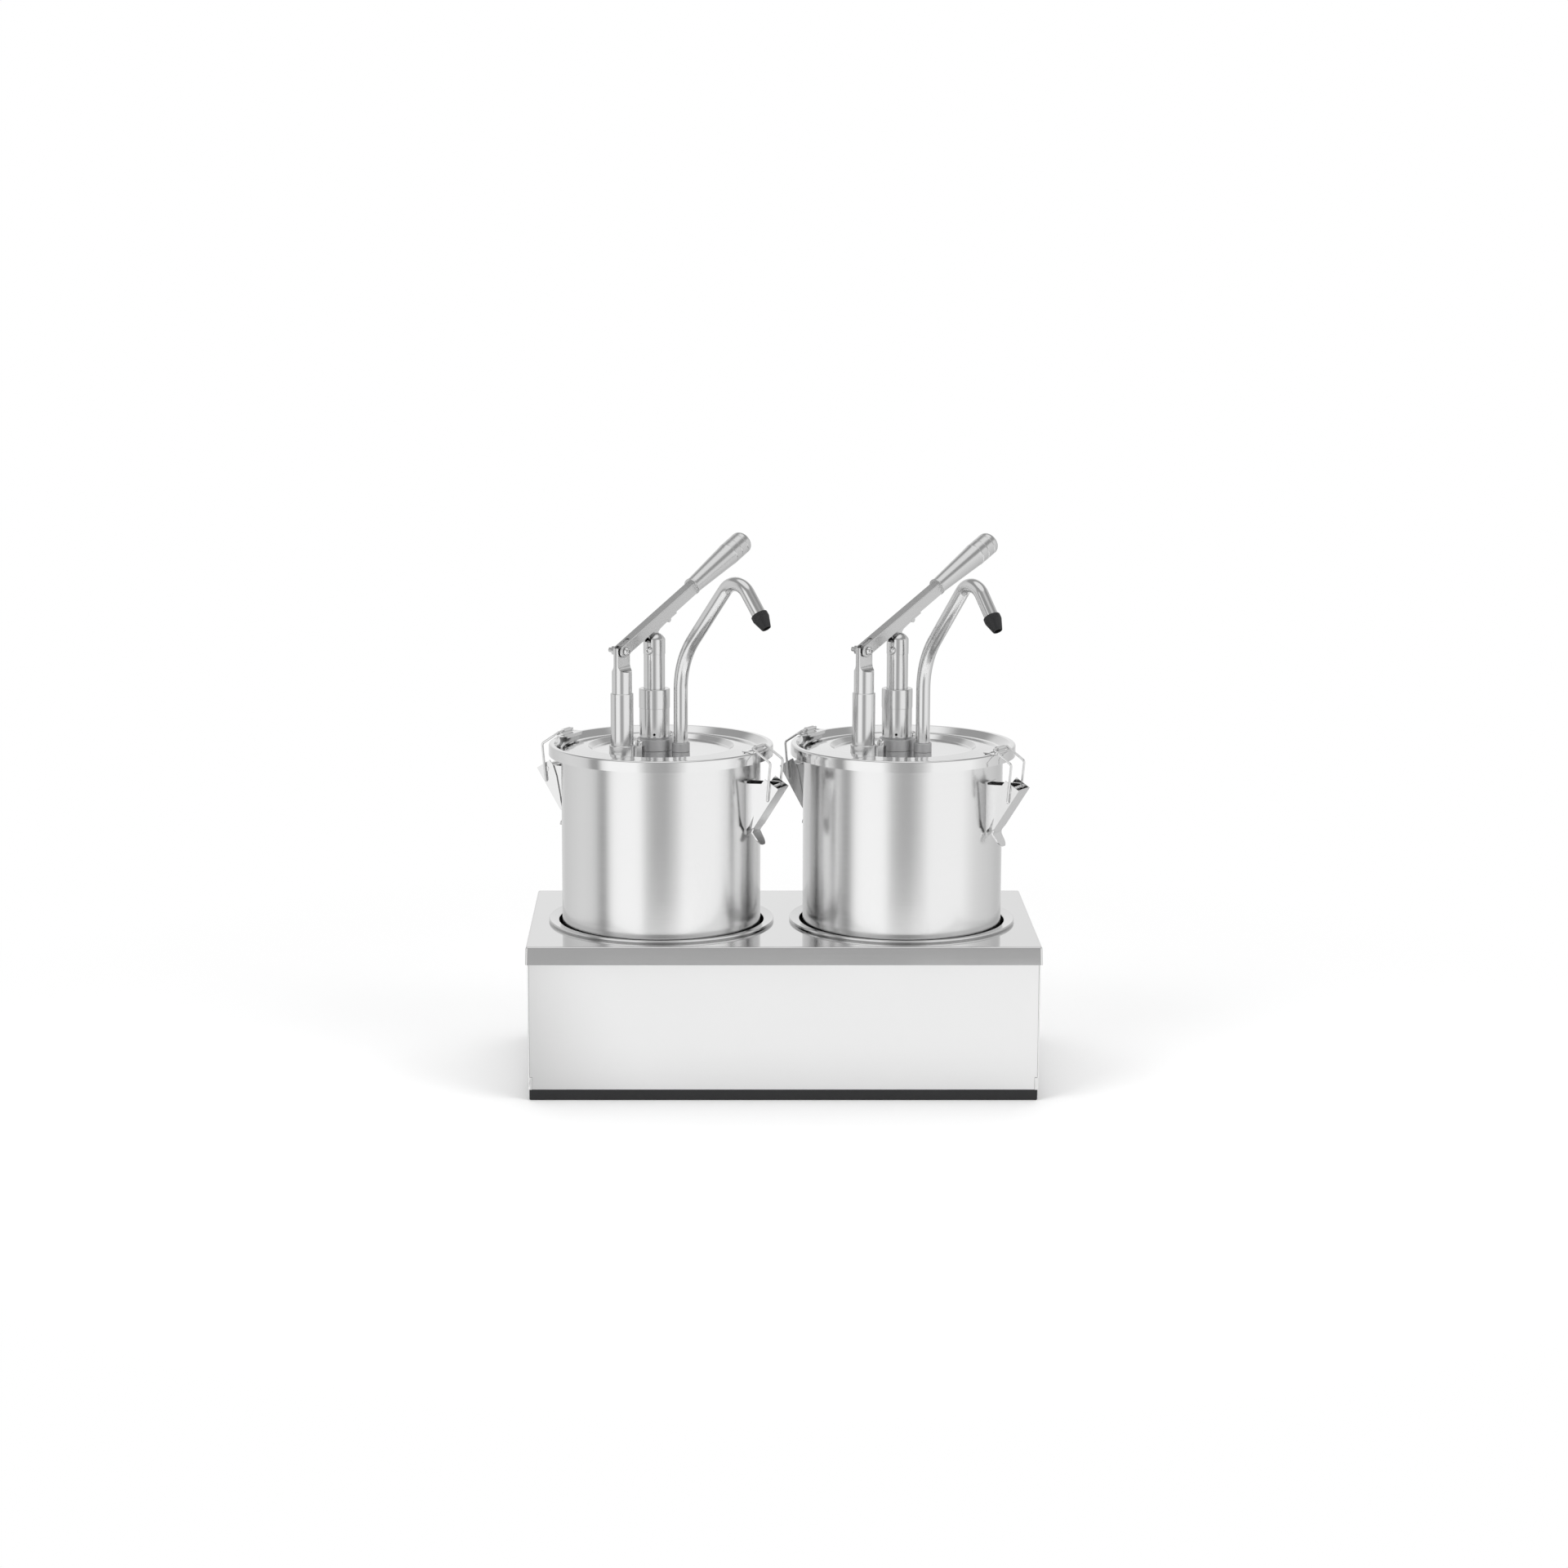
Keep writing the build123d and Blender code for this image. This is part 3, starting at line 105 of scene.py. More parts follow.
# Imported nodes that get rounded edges
EASED_BASE = ("body_wrap", "side_panels", "base_frame")
EASED_SHEET = (
    "lever_channel", "drive_plate", "latch_brackets", "latch_lever_front", "latch_lever_rear", "latch_pins",
)
EASED_TURNED = (
    "post", "post_collar", "pivot_bolt", "lid_ferrules", "pump_barrel", "barrel_collar", "plunger_rod",
    "plunger_cap", "cap_fasteners",
)


def middle(node):
    """Centre of a node's box."""
    low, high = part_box(node)
    return (low + high) / 2


class DispenserShapes(bpy.types.PropertyGroup):
    """Sizes of the pieces that are modelled here."""

    lid_sheet: bpy.props.FloatProperty(
        name="Lid sheet", description="Thickness of the pressed lid", default=1.0 * MM, unit="LENGTH"
    )
    lid_rim_round: bpy.props.FloatProperty(
        name="Rim round", description="Outer bend of the lid's rim", default=1.7 * MM, unit="LENGTH"
    )
    lid_bead_round: bpy.props.FloatProperty(
        name="Bead round", description="Inner bends of the lid's pressing", default=1.3 * MM, unit="LENGTH"
    )
    wall_break: bpy.props.FloatProperty(
        name="Wall break", description="Rounding at the corners of the base's walls",
        default=0.6 * MM, unit="LENGTH",
    )
    edge_break: bpy.props.FloatProperty(
        name="Edge break", description="Rounding of cut sheet edges", default=0.25 * MM, unit="LENGTH"
    )
    turned_break: bpy.props.FloatProperty(
        name="Turned break", description="Rounding of turned edges", default=0.35 * MM, unit="LENGTH"
    )
    plate_bend: bpy.props.FloatProperty(
        name="Plate bend", description="Bend between the top plate and its rim",
        default=1.8 * MM, unit="LENGTH",
    )
    plate_sheet: bpy.props.FloatProperty(
        name="Plate sheet", description="Thickness of the top plate", default=1.2 * MM, unit="LENGTH"
    )
    rim_draft: bpy.props.FloatProperty(
        name="Rim draft", description="How far the top plate's rim leans in at its top",
        default=0.5 * MM, unit="LENGTH",
    )
    grip_length: bpy.props.FloatProperty(
        name="Grip length", description="Length of the turned lever grip", default=81.8 * MM, unit="LENGTH"
    )
    stroke: bpy.props.FloatProperty(
        name="Stroke", description="Travel of the plunger", default=24.6 * MM, unit="LENGTH"
    )
    segments: bpy.props.IntProperty(
        name="Segments", description="Steps round a turned piece", default=128, min=24
    )


class DispenserColours(bpy.types.PropertyGroup):
    """Colours of the finishes."""

    bright_steel: bpy.props.FloatVectorProperty(
        name="Bright steel", description="Lids and latches",
        default=(0.80, 0.80, 0.80), subtype="COLOR",
    )
    brushed_steel: bpy.props.FloatVectorProperty(
        name="Brushed steel", description="Pots", default=(0.80, 0.80, 0.80), subtype="COLOR"
    )
    base_steel: bpy.props.FloatVectorProperty(
        name="Base steel", description="Sheets of the base", default=(0.75, 0.75, 0.75), subtype="COLOR"
    )
    tube_steel: bpy.props.FloatVectorProperty(
        name="Tube steel", description="Posts, pumps and spouts", default=(0.72, 0.72, 0.72), subtype="COLOR"
    )
    satin_steel: bpy.props.FloatVectorProperty(
        name="Satin steel", description="Levers and grips", default=(0.70, 0.70, 0.70), subtype="COLOR"
    )
    blasted: bpy.props.FloatVectorProperty(
        name="Blasted metal", description="Matte rings on the lid",
        default=(0.64, 0.64, 0.645), subtype="COLOR",
    )
    rubber: bpy.props.FloatVectorProperty(
        name="Rubber", description="Nozzles, gaskets and base frame",
        default=(0.012, 0.012, 0.013), subtype="COLOR",
    )


class StudioSettings(bpy.types.PropertyGroup):
    """Camera, table and light."""

    lens: bpy.props.FloatProperty(
        name="Lens", description="Focal length on a 36 mm sensor, in millimetres", default=80.8
    )
    camera_place: bpy.props.FloatVectorProperty(
        name="Camera place", description="Where the camera stands",
        default=(-0.0636, -2.9735, 0.7929), subtype="TRANSLATION", unit="LENGTH",
    )
    camera_pitch: bpy.props.FloatProperty(
        name="Camera pitch", description="Angle of the view below the horizon",
        default=math.radians(10.35), subtype="ANGLE",
    )
    camera_shift: bpy.props.FloatProperty(
        name="Camera shift", description="Sideways shift that frames the object", default=0.0487
    )
    ceiling: bpy.props.FloatProperty(
        name="Ceiling", description="Grey of the studio ceiling that metal reflects", default=0.38
    )
    ambient: bpy.props.FloatProperty(
        name="Ambient", description="Strength of the light from all round", default=0.55
    )


def settings(name):
    """One of the property groups on the scene."""
    return getattr(bpy.context.scene, "dispenser_" + name)


# Modelling helpers

def deselect_all():
    """Leave edit mode and select nothing."""
    if bpy.context.object and bpy.context.object.mode != "OBJECT":
        bpy.ops.object.mode_set(mode="OBJECT")
    bpy.ops.object.select_all(action="DESELECT")


def pick(piece):
    """Make one piece the only selected and active object."""
    deselect_all()
    piece.select_set(True)
    bpy.context.view_layer.objects.active = piece


def edit(piece):
    """Open one piece in edit mode with everything selected."""
    pick(piece)
    bpy.ops.object.mode_set(mode="EDIT")
    bpy.ops.mesh.select_all(action="SELECT")


def close_edit():
    """Back to object mode."""
    bpy.ops.object.mode_set(mode="OBJECT")


def settle(piece):
    """Put the object's place and turn into its mesh."""
    pick(piece)
    bpy.ops.object.transform_apply(location=True, rotation=True, scale=True)


def apply_modifier(piece, kind, **values):
    """Add a modifier, set it and apply it."""
    pick(piece)
    modifier = piece.modifiers.new(kind.title(), kind)
    for key, value in values.items():
        setattr(modifier, key, value)
    bpy.ops.object.modifier_apply(modifier=modifier.name)


def smooth(piece, degrees=30):
    """Smooth shading with sharp edges kept."""
    pick(piece)
    bpy.ops.object.shade_smooth_by_angle(angle=math.radians(degrees))


def rounded_outline(corners, steps=5):
    """Outline of (radius, height) with an arc at each corner that has a third value, its round."""
    outline = [corners[0][:2]]
    for before, corner, after in zip(corners, corners[1:], corners[2:]):
        if len(corner) == 2:
            outline.append(corner)
            continue
        place = Vector(corner[:2])
        back = (Vector(before[:2]) - place).normalized()
        ahead = (Vector(after[:2]) - place).normalized()
        half = back.angle(ahead) / 2
        reach = corner[2] / math.tan(half)
        centre = place + (back + ahead).normalized() * (corner[2] / math.sin(half))
        start = place + back * reach - centre
        sweep = math.pi - 2 * half
        way = 1 if back.x * ahead.y - back.y * ahead.x < 0 else -1
        for step in range(steps + 1):
            angle = way * sweep * step / steps
            turn = Matrix.Rotation(angle, 2)
            point = centre + turn @ start
            outline.append((point.x, point.y))
    outline.append(corners[-1][:2])
    return outline


def draw_circle(name, radius, place, vertices):
    """A new circle, open in edit mode with everything selected."""
    deselect_all()
    bpy.ops.mesh.primitive_circle_add(vertices=vertices, radius=radius, location=place)
    piece = bpy.context.object
    piece.name = piece.data.name = name
    settle(piece)
    edit(piece)
    return piece


def close_shell():
    """Merge the points that meet, turn the faces outwards and leave edit mode."""
    bpy.ops.mesh.select_all(action="SELECT")
    bpy.ops.mesh.remove_doubles(threshold=MERGE)
    bpy.ops.mesh.normals_make_consistent(inside=False)
    close_edit()


def turn_outline(name, outline, centre=(0, 0)):
    """Turn an outline of (radius, height): a circle is extruded and scaled from point to point."""
    x, y = centre
    start_radius, start_height = outline[0]
    piece = draw_circle(name, max(start_radius, POLE), (x, y, start_height), settings("shapes").segments)
    for (r0, z0), (r1, z1) in zip(outline, outline[1:]):
        bpy.ops.mesh.extrude_region_move(TRANSFORM_OT_translate={"value": (0, 0, z1 - z0)})
        ratio = max(r1, POLE) / max(r0, POLE)
        bpy.ops.transform.resize(value=(ratio, ratio, 1), center_override=(x, y, z1))
    close_shell()
    return piece


def copy_of_node(node, name):
    """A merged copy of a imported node, without its loose triangles."""
    source = frame["nodes"][node]
    piece = bpy.data.objects.new(name, source.data.copy())
    piece.data.name = name
    bpy.context.scene.collection.objects.link(piece)
    pick(piece)
    bpy.ops.mesh.customdata_custom_splitnormals_clear()
    edit(piece)
    bpy.ops.mesh.remove_doubles(threshold=NODE_MERGE)
    bpy.ops.mesh.select_all(action="SELECT")
    bpy.ops.mesh.dissolve_limited(angle_limit=FLAT_WITHIN)
    close_edit()
    return piece


def place_along(piece, matrix):
    """Stand a piece that was made at the origin on its place, and put that into its mesh."""
    piece.matrix_world = matrix
    settle(piece)


def weigh_normals(piece, degrees=35):
    """Smooth shading that keeps flat faces flat beside their rounded edges."""
    smooth(piece, degrees)
    apply_modifier(piece, "WEIGHTED_NORMAL", keep_sharp=True)


def round_edges(piece, width, segments, degrees):
    """Round the edges that turn by more than some degrees."""
    angle = math.radians(degrees)
    apply_modifier(piece, "BEVEL", width=width, segments=segments, limit_method="ANGLE", angle_limit=angle)


def ease_node(node, width):
    """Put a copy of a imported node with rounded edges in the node's place."""
    piece = copy_of_node(node, "eased_" + node)
    round_edges(piece, width, 2, 35)
    weigh_normals(piece)
    take_place(piece, node)


# Finishes

# Noise scales are per metre, reliefs in metres; swings are half ranges
GRAIN_DETAIL, GRAIN_SWING = 3.0, 0.07
CLOUD_SCALE, CLOUD_DETAIL = 14.0, 3.0
CLOUD_RANGE = (0.3, 0.7)
EVEN = (1, 1, 1)


class Bench:
    """Builds the nodes of one material or world: adds them and joins them."""

    def __init__(self, owner):
        self.owner = owner
        self.tree = owner.node_tree
        self.shader = self.tree.nodes.get("Principled BSDF")
        self.coordinates = self.add("ShaderNodeTexCoord")

    def feed(self, socket, value):
        """Join an output to a socket, or set the socket to a plain value."""
        if isinstance(value, bpy.types.NodeSocket):
            self.tree.links.new(value, socket)
        else:
            socket.default_value = value

    def add(self, kind, **values):
        """Add a node and set its properties, or its inputs where a value's name is one."""
        node = self.tree.nodes.new(kind)
        for key, value in values.items():
            if key in node.inputs:
                self.feed(node.inputs[key], value)
            else:
                setattr(node, key, value)
        return node

    def dress(self, **values):
        """Feed the shader's inputs, which are named with _ for a space."""
        for key, value in values.items():
            self.feed(self.shader.inputs[key.replace("_", " ")], value)

    def calculate(self, operation, first, second, **values):
        """Result of a sum of two values."""
        node = self.add("ShaderNodeMath", operation=operation, **values)
        self.feed(node.inputs[0], first)
        self.feed(node.inputs[1], second)
        return node.outputs[0]

    def mix_shaders(self, amount, first, second):
        """A shader between two, by an amount."""
        node = self.add("ShaderNodeMixShader")
        for socket, value in zip(node.inputs, (amount, first, second)):
            self.feed(socket, value)
        return node.outputs[0]

    def mix_colours(self, amount, first, second):
        """A colour between two, by an amount."""
        node = self.add("ShaderNodeMix", data_type="RGBA")
        self.feed(node.inputs[0], amount)
        sockets = [socket for socket in node.inputs if socket.type == "RGBA"]
        for socket, value in zip(sockets, (first, second)):
            self.feed(socket, value)
        return next(socket for socket in node.outputs if socket.type == "RGBA")

    def mapped(self, scale, place=(0, 0, 0), turn=(0, 0, 0)):
        """Object coordinates, centred at a place, then turned, then scaled."""
        vector = self.coordinates.outputs["Object"]
        for step in ({"Location": [-part for part in place]}, {"Rotation": turn}, {"Scale": scale}):
            node = self.add("ShaderNodeMapping", vector_type="POINT", Vector=vector, **step)
            vector = node.outputs["Vector"]
        return vector

    def noise(self, vector, scale, detail=2.0):
        """Value of a noise texture."""
        return self.add("ShaderNodeTexNoise", Vector=vector, Scale=scale, Detail=detail).outputs["Fac"]

    def between(self, value, low, high, start=0.35, end=0.65, way="LINEAR"):
        """Spread a value's range between two numbers."""
        node = self.add("ShaderNodeMapRange", interpolation_type=way, Value=value)
        for key, number in (("From Min", start), ("From Max", end), ("To Min", low), ("To Max", high)):
            node.inputs[key].default_value = number
        return node.outputs["Result"]

    def ease_in(self, value, start, end):
        """From 0 at the start to 1 at the end, smoothly."""
        return self.between(value, 0.0, 1.0, start, end, "SMOOTHSTEP")

    def tint(self, value, colour, spread):
        """Base colour that varies a little with a value."""
        dark = [part * (1 - spread) for part in colour] + [1.0]
        light = [min(1.0, part * (1 + spread)) for part in colour] + [1.0]
        self.dress(Base_Color=self.mix_colours(value, dark, light))

    def bump(self, value, distance):
        """Relief of a value in metres."""
        relief = self.add("ShaderNodeBump", Strength=1.0, Distance=distance, Height=value)
        self.dress(Normal=relief.outputs["Normal"])


def new_bench(name):
    """Bench of a new material."""
    material = bpy.data.materials.new(name)
    material.use_nodes = True
    return Bench(material)


def metal(name, colour, roughness, grain, relief=0, spread=0.02, wear=0.02, place=(0, 0, 0), turn=(0, 0, 0)):
    """Steel with a fine directional grain and faint cloudy wear."""
    bench = new_bench(name)
    lines = bench.noise(bench.mapped(grain, place, turn), 1.0, GRAIN_DETAIL)
    clouds = bench.noise(bench.mapped(EVEN, place), CLOUD_SCALE, CLOUD_DETAIL)
    bench.tint(lines, colour, spread)
    fine = bench.between(lines, roughness * (1 - GRAIN_SWING), roughness * (1 + GRAIN_SWING))
    worn = bench.between(clouds, -wear, wear, *CLOUD_RANGE)
    bench.dress(Metallic=1.0, Roughness=bench.calculate("ADD", fine, worn, use_clamp=True))
    if relief:
        bench.bump(lines, relief)
    return bench.owner


def blasted_metal(
    name, colour, roughness, grain=2600.0, spread=0.12, swing=0.06, relief=0.00006
):
    """Matte grey metal with a fine blasted grain."""
    bench = new_bench(name)
    grains = bench.noise(bench.mapped(EVEN), grain)
    bench.tint(grains, colour, spread)
    bench.dress(Metallic=1.0, Roughness=bench.between(grains, roughness - swing, roughness + swing))
    bench.bump(grains, relief)
    return bench.owner


def moulded_rubber(
    name, colour, roughness, grain=1500.0, clouding=30.0, spread=0.18, swing=0.08, relief=0.00005
):
    """Black rubber with a faint moulded grain."""
    bench = new_bench(name)
    grains = bench.noise(bench.mapped(EVEN), grain, 3.0)
    clouds = bench.noise(bench.mapped(EVEN), clouding)
    bench.tint(clouds, colour, spread)
    rough = bench.between(grains, roughness - swing, roughness + swing)
    bench.dress(Specular_IOR_Level=0.45, Roughness=rough)
    bench.bump(grains, relief)
    return bench.owner


def lever_turn(side):
    """Turn of the lever's long axis about Z, from the post to the pump."""
    start = middle("post_" + side)
    end = middle("plunger_rod_" + side)
    return math.atan2(end.y - start.y, end.x - start.x)


def make_finishes():
    """All finishes by slot and side; a grain's three numbers are its lines per metre along X, Y and Z."""
    colours = settings("colours")
    bright, brushed, satin = colours.bright_steel, colours.brushed_steel, colours.satin_steel
    finishes = {
        "base_steel": metal("brushed_base_steel", colours.base_steel, 0.10, (6, 1400, 1400), wear=0.01),
        "black_rubber": moulded_rubber("black_rubber", colours.rubber, 0.5),
        "matte_ferrule": blasted_metal("blasted_ferrule", colours.blasted, 0.55),
        "inner_steel": metal("inner_steel", brushed, 0.22, (900, 900, 900), relief=0.000001),
        "spring_steel": metal("spring_steel", satin, 0.25, (1500, 1500, 1500), relief=0.000001),
        "latch_steel": metal("latch_steel", bright, 0.14, (500, 500, 60)),
        "polished_steel": metal("polished_tube_steel", colours.tube_steel, 0.15, (200, 200, 20), wear=0.01),
    }
    for side in SIDES:
        pot = middle("pot_" + side)
        turn = (0, 0, -lever_turn(side))
        pivot = middle("pivot_bolt_" + side)
        finishes["brushed_pot_" + side] = metal(
            "brushed_pot_steel_" + side, brushed, 0.20, (9, 9, 1500), wear=0.01, place=pot
        )
        finishes["polished_lid_" + side] = metal(
            "polished_lid_steel_" + side, bright, 0.10, (40, 40, 900), place=pot
        )
        finishes["satin_lever_" + side] = metal(
            "satin_lever_steel_" + side, satin, 0.28, (20, 700, 700), place=pivot, turn=turn
        )
        finishes["satin_grip_" + side] = metal(
            "satin_grip_steel_" + side, satin, 0.24, (700, 30, 30), place=pivot, turn=turn
        )
    return finishes


FINISHES = {}


def slot_of(node):
    """The record's material slot of a node."""
    return frame["nodes"][node].data.materials[0].name.split(".")[0]


def finish_for(node):
    """The finish of a node, by its slot in the record and its side."""
    if not FINISHES:
        FINISHES.update(make_finishes())
    slot, side = slot_of(node), node.rsplit("_", 1)[-1]
    return FINISHES.get(slot + "_" + side) or FINISHES[slot]


def take_place(piece, node):
    """Let a piece ride on its node's body with its finish, and stand for the node."""
    piece.data.materials.clear()
    piece.data.materials.append(finish_for(node))
    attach(piece, frame["nodes"][node]["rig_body"])
    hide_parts(node)


# Places

def pick_level_faces(piece, way):
    """Select only the faces that look straight up (1) or straight down (-1), in edit mode."""
    bpy.ops.mesh.select_all(action="DESELECT")
    close_edit()
    for face in piece.data.polygons:
        face.select = face.normal.z * way > 0.99
    bpy.ops.object.mode_set(mode="EDIT")


def lever_frame(side):
    """Frame of a lever at rest: X runs from the pivot along the channel to the grip."""
    post = middle("post_" + side)
    place = Matrix.Translation((post.x, post.y, PIVOT_HEIGHT))
    return place @ Matrix.Rotation(lever_turn(side), 4, "Z") @ Matrix.Rotation(-LEVER_REST, 4, "Y")


def along_x(start, height):
    """Lay a piece that was turned about Z along X, from a start at a height."""
    return Matrix.Translation((start, 0, height)) @ Matrix.Rotation(math.radians(90), 4, "Y")


def spout_frame(side):
    """Frame of a spout: Z is the tube's foot, and X the way it leans."""
    x, y, heading = SPOUT_FEET[side]
    return Matrix.Translation((x, y, 0)) @ Matrix.Rotation(math.radians(heading), 4, "Z")


# Operators, one for each piece or group of like pieces

class DISPENSER_OT_press_lids(bpy.types.Operator):
    """Press the two round lids with their rim, trough, step and flat panel"""

    bl_idname = "dispenser.press_lids"
    bl_label = "Press lids"

    def execute(self, context):
        sizes = settings("shapes")
        low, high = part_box("lid_left")
        radius, rim_inner = (high.x - low.x) / 2, 91.5 * MM
        trough_outer, trough_outer_height = 84.3 * MM, 282.3 * MM
        trough_inner, trough_inner_height = 82.3 * MM, 281.9 * MM
        step, step_height = 62.6 * MM, 285.1 * MM
        panel, panel_height = 58.6 * MM, 281.2 * MM
        bead = sizes.lid_bead_round
        outline = rounded_outline(
            [
                (radius, low.z),
                (radius, high.z, sizes.lid_rim_round),
                (rim_inner, high.z, bead),
                (trough_outer, trough_outer_height, bead),
                (trough_inner, trough_inner_height, bead * 2),
                (step, step_height, bead * 0.8),
                (panel, panel_height, bead),
                (0.0, panel_height),
            ]
        )
        for side in SIDES:
            centre = middle("lid_" + side)
            lid = turn_outline("pressed_lid_" + side, outline, (centre.x, centre.y))
            apply_modifier(lid, "SOLIDIFY", thickness=sizes.lid_sheet, offset=-1)
            smooth(lid, 40)
            take_place(lid, "lid_" + side)
        return {"FINISHED"}


class DISPENSER_OT_press_plate(bpy.types.Operator):
    """Press the top plate: leaning rim, bent edges and two round holes"""

    bl_idname = "dispenser.press_plate"
    bl_label = "Press top plate"

    def execute(self, context):
        sizes = settings("shapes")
        low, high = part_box("top_plate")
        centre, size = (low + high) / 2, high - low
        hole, punch_depth = 90.0 * MM, 40 * MM
        deselect_all()
        bpy.ops.mesh.primitive_cube_add(size=1, location=centre)
        plate = context.object
        plate.name = plate.data.name = "pressed_top_plate"
        plate.scale = size
        settle(plate)
        edit(plate)
        pick_level_faces(plate, 1)
        across, along = [(length - 2 * sizes.rim_draft) / length for length in (size.x, size.y)]
        bpy.ops.transform.resize(value=(across, along, 1), center_override=(centre.x, centre.y, high.z))
        pick_level_faces(plate, -1)
        bpy.ops.mesh.delete(type="FACE")
        close_edit()
        round_edges(plate, sizes.plate_bend, 5, 60)
        apply_modifier(plate, "SOLIDIFY", thickness=sizes.plate_sheet, offset=-1, use_even_offset=True)
        for side in SIDES:
            pot = middle("pot_" + side)
            bpy.ops.mesh.primitive_cylinder_add(
                vertices=sizes.segments, radius=hole, depth=punch_depth, location=(pot.x, pot.y, high.z)
            )
            punch = context.object
            apply_modifier(plate, "BOOLEAN", operation="DIFFERENCE", object=punch, solver="EXACT")
            bpy.data.objects.remove(punch)
        weigh_normals(plate)
        take_place(plate, "top_plate")
        return {"FINISHED"}


class DISPENSER_OT_turn_rings(bpy.types.Operator):
    """Turn the two rings that line the holes of the top plate"""

    bl_idname = "dispenser.turn_rings"
    bl_label = "Turn collar rings"

    def execute(self, context):
        low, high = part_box("collar_rings")
        outer, inner, wall = 96.8 * MM, 88.0 * MM, 1.3 * MM
        plate, fall = high.z - 3.0 * MM, 1.7 * MM
        undercut, undercut_rise = 1.4 * MM, 1.2 * MM
        outline = rounded_outline(
            [
                (inner + wall, low.z),
                (inner + wall, plate),
                (outer - undercut, plate),
                (outer, plate + undercut_rise, 0.4 * MM),
                (outer, high.z, 0.7 * MM),
                (inner, high.z - fall, 0.9 * MM),
                (inner, low.z),
                (inner + wall, low.z),
            ]
        )
        rings = []
        for side in SIDES:
            pot = middle("pot_" + side)
            rings.append(turn_outline("collar_ring_" + side, outline, (pot.x, pot.y)))
        pick(rings[0])
        rings[1].select_set(True)
        bpy.ops.object.join()
        rings[0].name = "turned_collar_rings"
        weigh_normals(rings[0])
        take_place(rings[0], "collar_rings")
        return {"FINISHED"}


class DISPENSER_OT_turn_grips(bpy.types.Operator):
    """Turn the two lever grips with their lip, three fine rings and domed end"""

    bl_idname = "dispenser.turn_grips"
    bl_label = "Turn grips"

    def execute(self, context):
        length = settings("shapes").grip_length
        lip, lip_length, edge = 7.6 * MM, 1.6 * MM, 0.3 * MM
        neck, neck_start = 7.0 * MM, 2.2 * MM
        big, dome = 10.2 * MM, 4.6 * MM
        swell, swell_round = 0.66, 30 * MM
        shoulder, groove, half_ring = big - 0.1 * MM, big - 0.55 * MM, 0.5 * MM
        outline = [(0.0, 0.0), (lip, 0.0, edge), (lip, lip_length, edge), (neck, neck_start)]
        outline.append((big - 0.4 * MM, length * swell, swell_round))
        for from_end in (24.7 * MM, 16.5 * MM, 7.9 * MM):
            at = length - from_end
            outline += [(shoulder, at - half_ring), (groove, at), (shoulder, at + half_ring)]
        outline += [(big, length, dome), (0.0, length)]
        profile = rounded_outline(outline, 9)
        spigot_size, spigot_middle = (7.0 * MM, 6.2 * MM, 14 * MM), -5 * MM
        for side in SIDES:
            grip = turn_outline("turned_grip_" + side, profile)
            bpy.ops.mesh.primitive_cube_add(size=1, location=(0, 0, spigot_middle))
            spigot = context.object
            spigot.scale = spigot_size
            settle(spigot)
            grip.select_set(True)
            context.view_layer.objects.active = grip
            bpy.ops.object.join()
            place_along(grip, lever_frame(side) @ along_x(GRIP_START, GRIP_RISE))
            weigh_normals(grip)
            take_place(grip, "handle_grip_" + side)
        return {"FINISHED"}


class DISPENSER_OT_bend_spouts(bpy.types.Operator):
    """Bend the two delivery tubes: a circle is extruded, spun round each bend and extruded again"""

    bl_idname = "dispenser.bend_spouts"
    bl_label = "Bend spouts"

    def execute(self, context):
        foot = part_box("spout_tube_left")[0].z
        for side in SIDES:
            tube = draw_circle("bent_spout_" + side, TUBE_RADIUS, (0, 0, foot), TUBE_SIDES)
            reach, height, lean = 0.0, SPOUT_RISE, 0.0
            bpy.ops.mesh.extrude_region_move(TRANSFORM_OT_translate={"value": (0, 0, height - foot)})
            for radius, turn, run in SPOUT_BENDS:
                middle_x = reach + radius * math.cos(lean)
                middle_z = height - radius * math.sin(lean)
                centre = (middle_x, 0, middle_z)
                bpy.ops.mesh.spin(steps=BEND_STEPS, angle=turn, center=centre, axis=(0, -1, 0))
                lean += turn
                reach = middle_x - radius * math.cos(lean) + run * math.sin(lean)
                height = middle_z + radius * math.sin(lean) + run * math.cos(lean)
                step = (run * math.sin(lean), 0, run * math.cos(lean))
                bpy.ops.mesh.extrude_region_move(TRANSFORM_OT_translate={"value": step})
            close_shell()
            apply_modifier(tube, "SOLIDIFY", thickness=TUBE_WALL, offset=-1)
            place_along(tube, spout_frame(side))
            weigh_normals(tube)
            take_place(tube, "spout_tube_" + side)
        return {"FINISHED"}


class DISPENSER_OT_mould_nozzles(bpy.types.Operator):
    """Mould the two tapered rubber nozzles with their open tip"""

    bl_idname = "dispenser.mould_nozzles"
    bl_label = "Mould nozzles"

    def execute(self, context):
        sleeve = -2.2 * MM
        belt, belt_end, belt_round = 7.25 * MM, 2.2 * MM, 3.0 * MM
        tip, hole, end, hole_start = 4.0 * MM, 3.3 * MM, 12.1 * MM, 2.0 * MM
        outline = rounded_outline(
            [
                (TUBE_RADIUS, 0.0),
                (TUBE_RADIUS, sleeve, 0.2 * MM),
                (belt, sleeve, 0.8 * MM),
                (belt, belt_end, belt_round),
                (tip, end, 0.5 * MM),
                (hole, end, 0.15 * MM),
                (hole, hole_start, 0.3 * MM),
                (TUBE_RADIUS - TUBE_WALL, 0.0),
                (TUBE_RADIUS, 0.0),
            ]
        )
        for side in SIDES:
            nozzle = turn_outline("moulded_nozzle_" + side, outline)
            place_along(nozzle, spout_frame(side) @ SPOUT_END)
            weigh_normals(nozzle)
            take_place(nozzle, "nozzle_" + side)
        return {"FINISHED"}


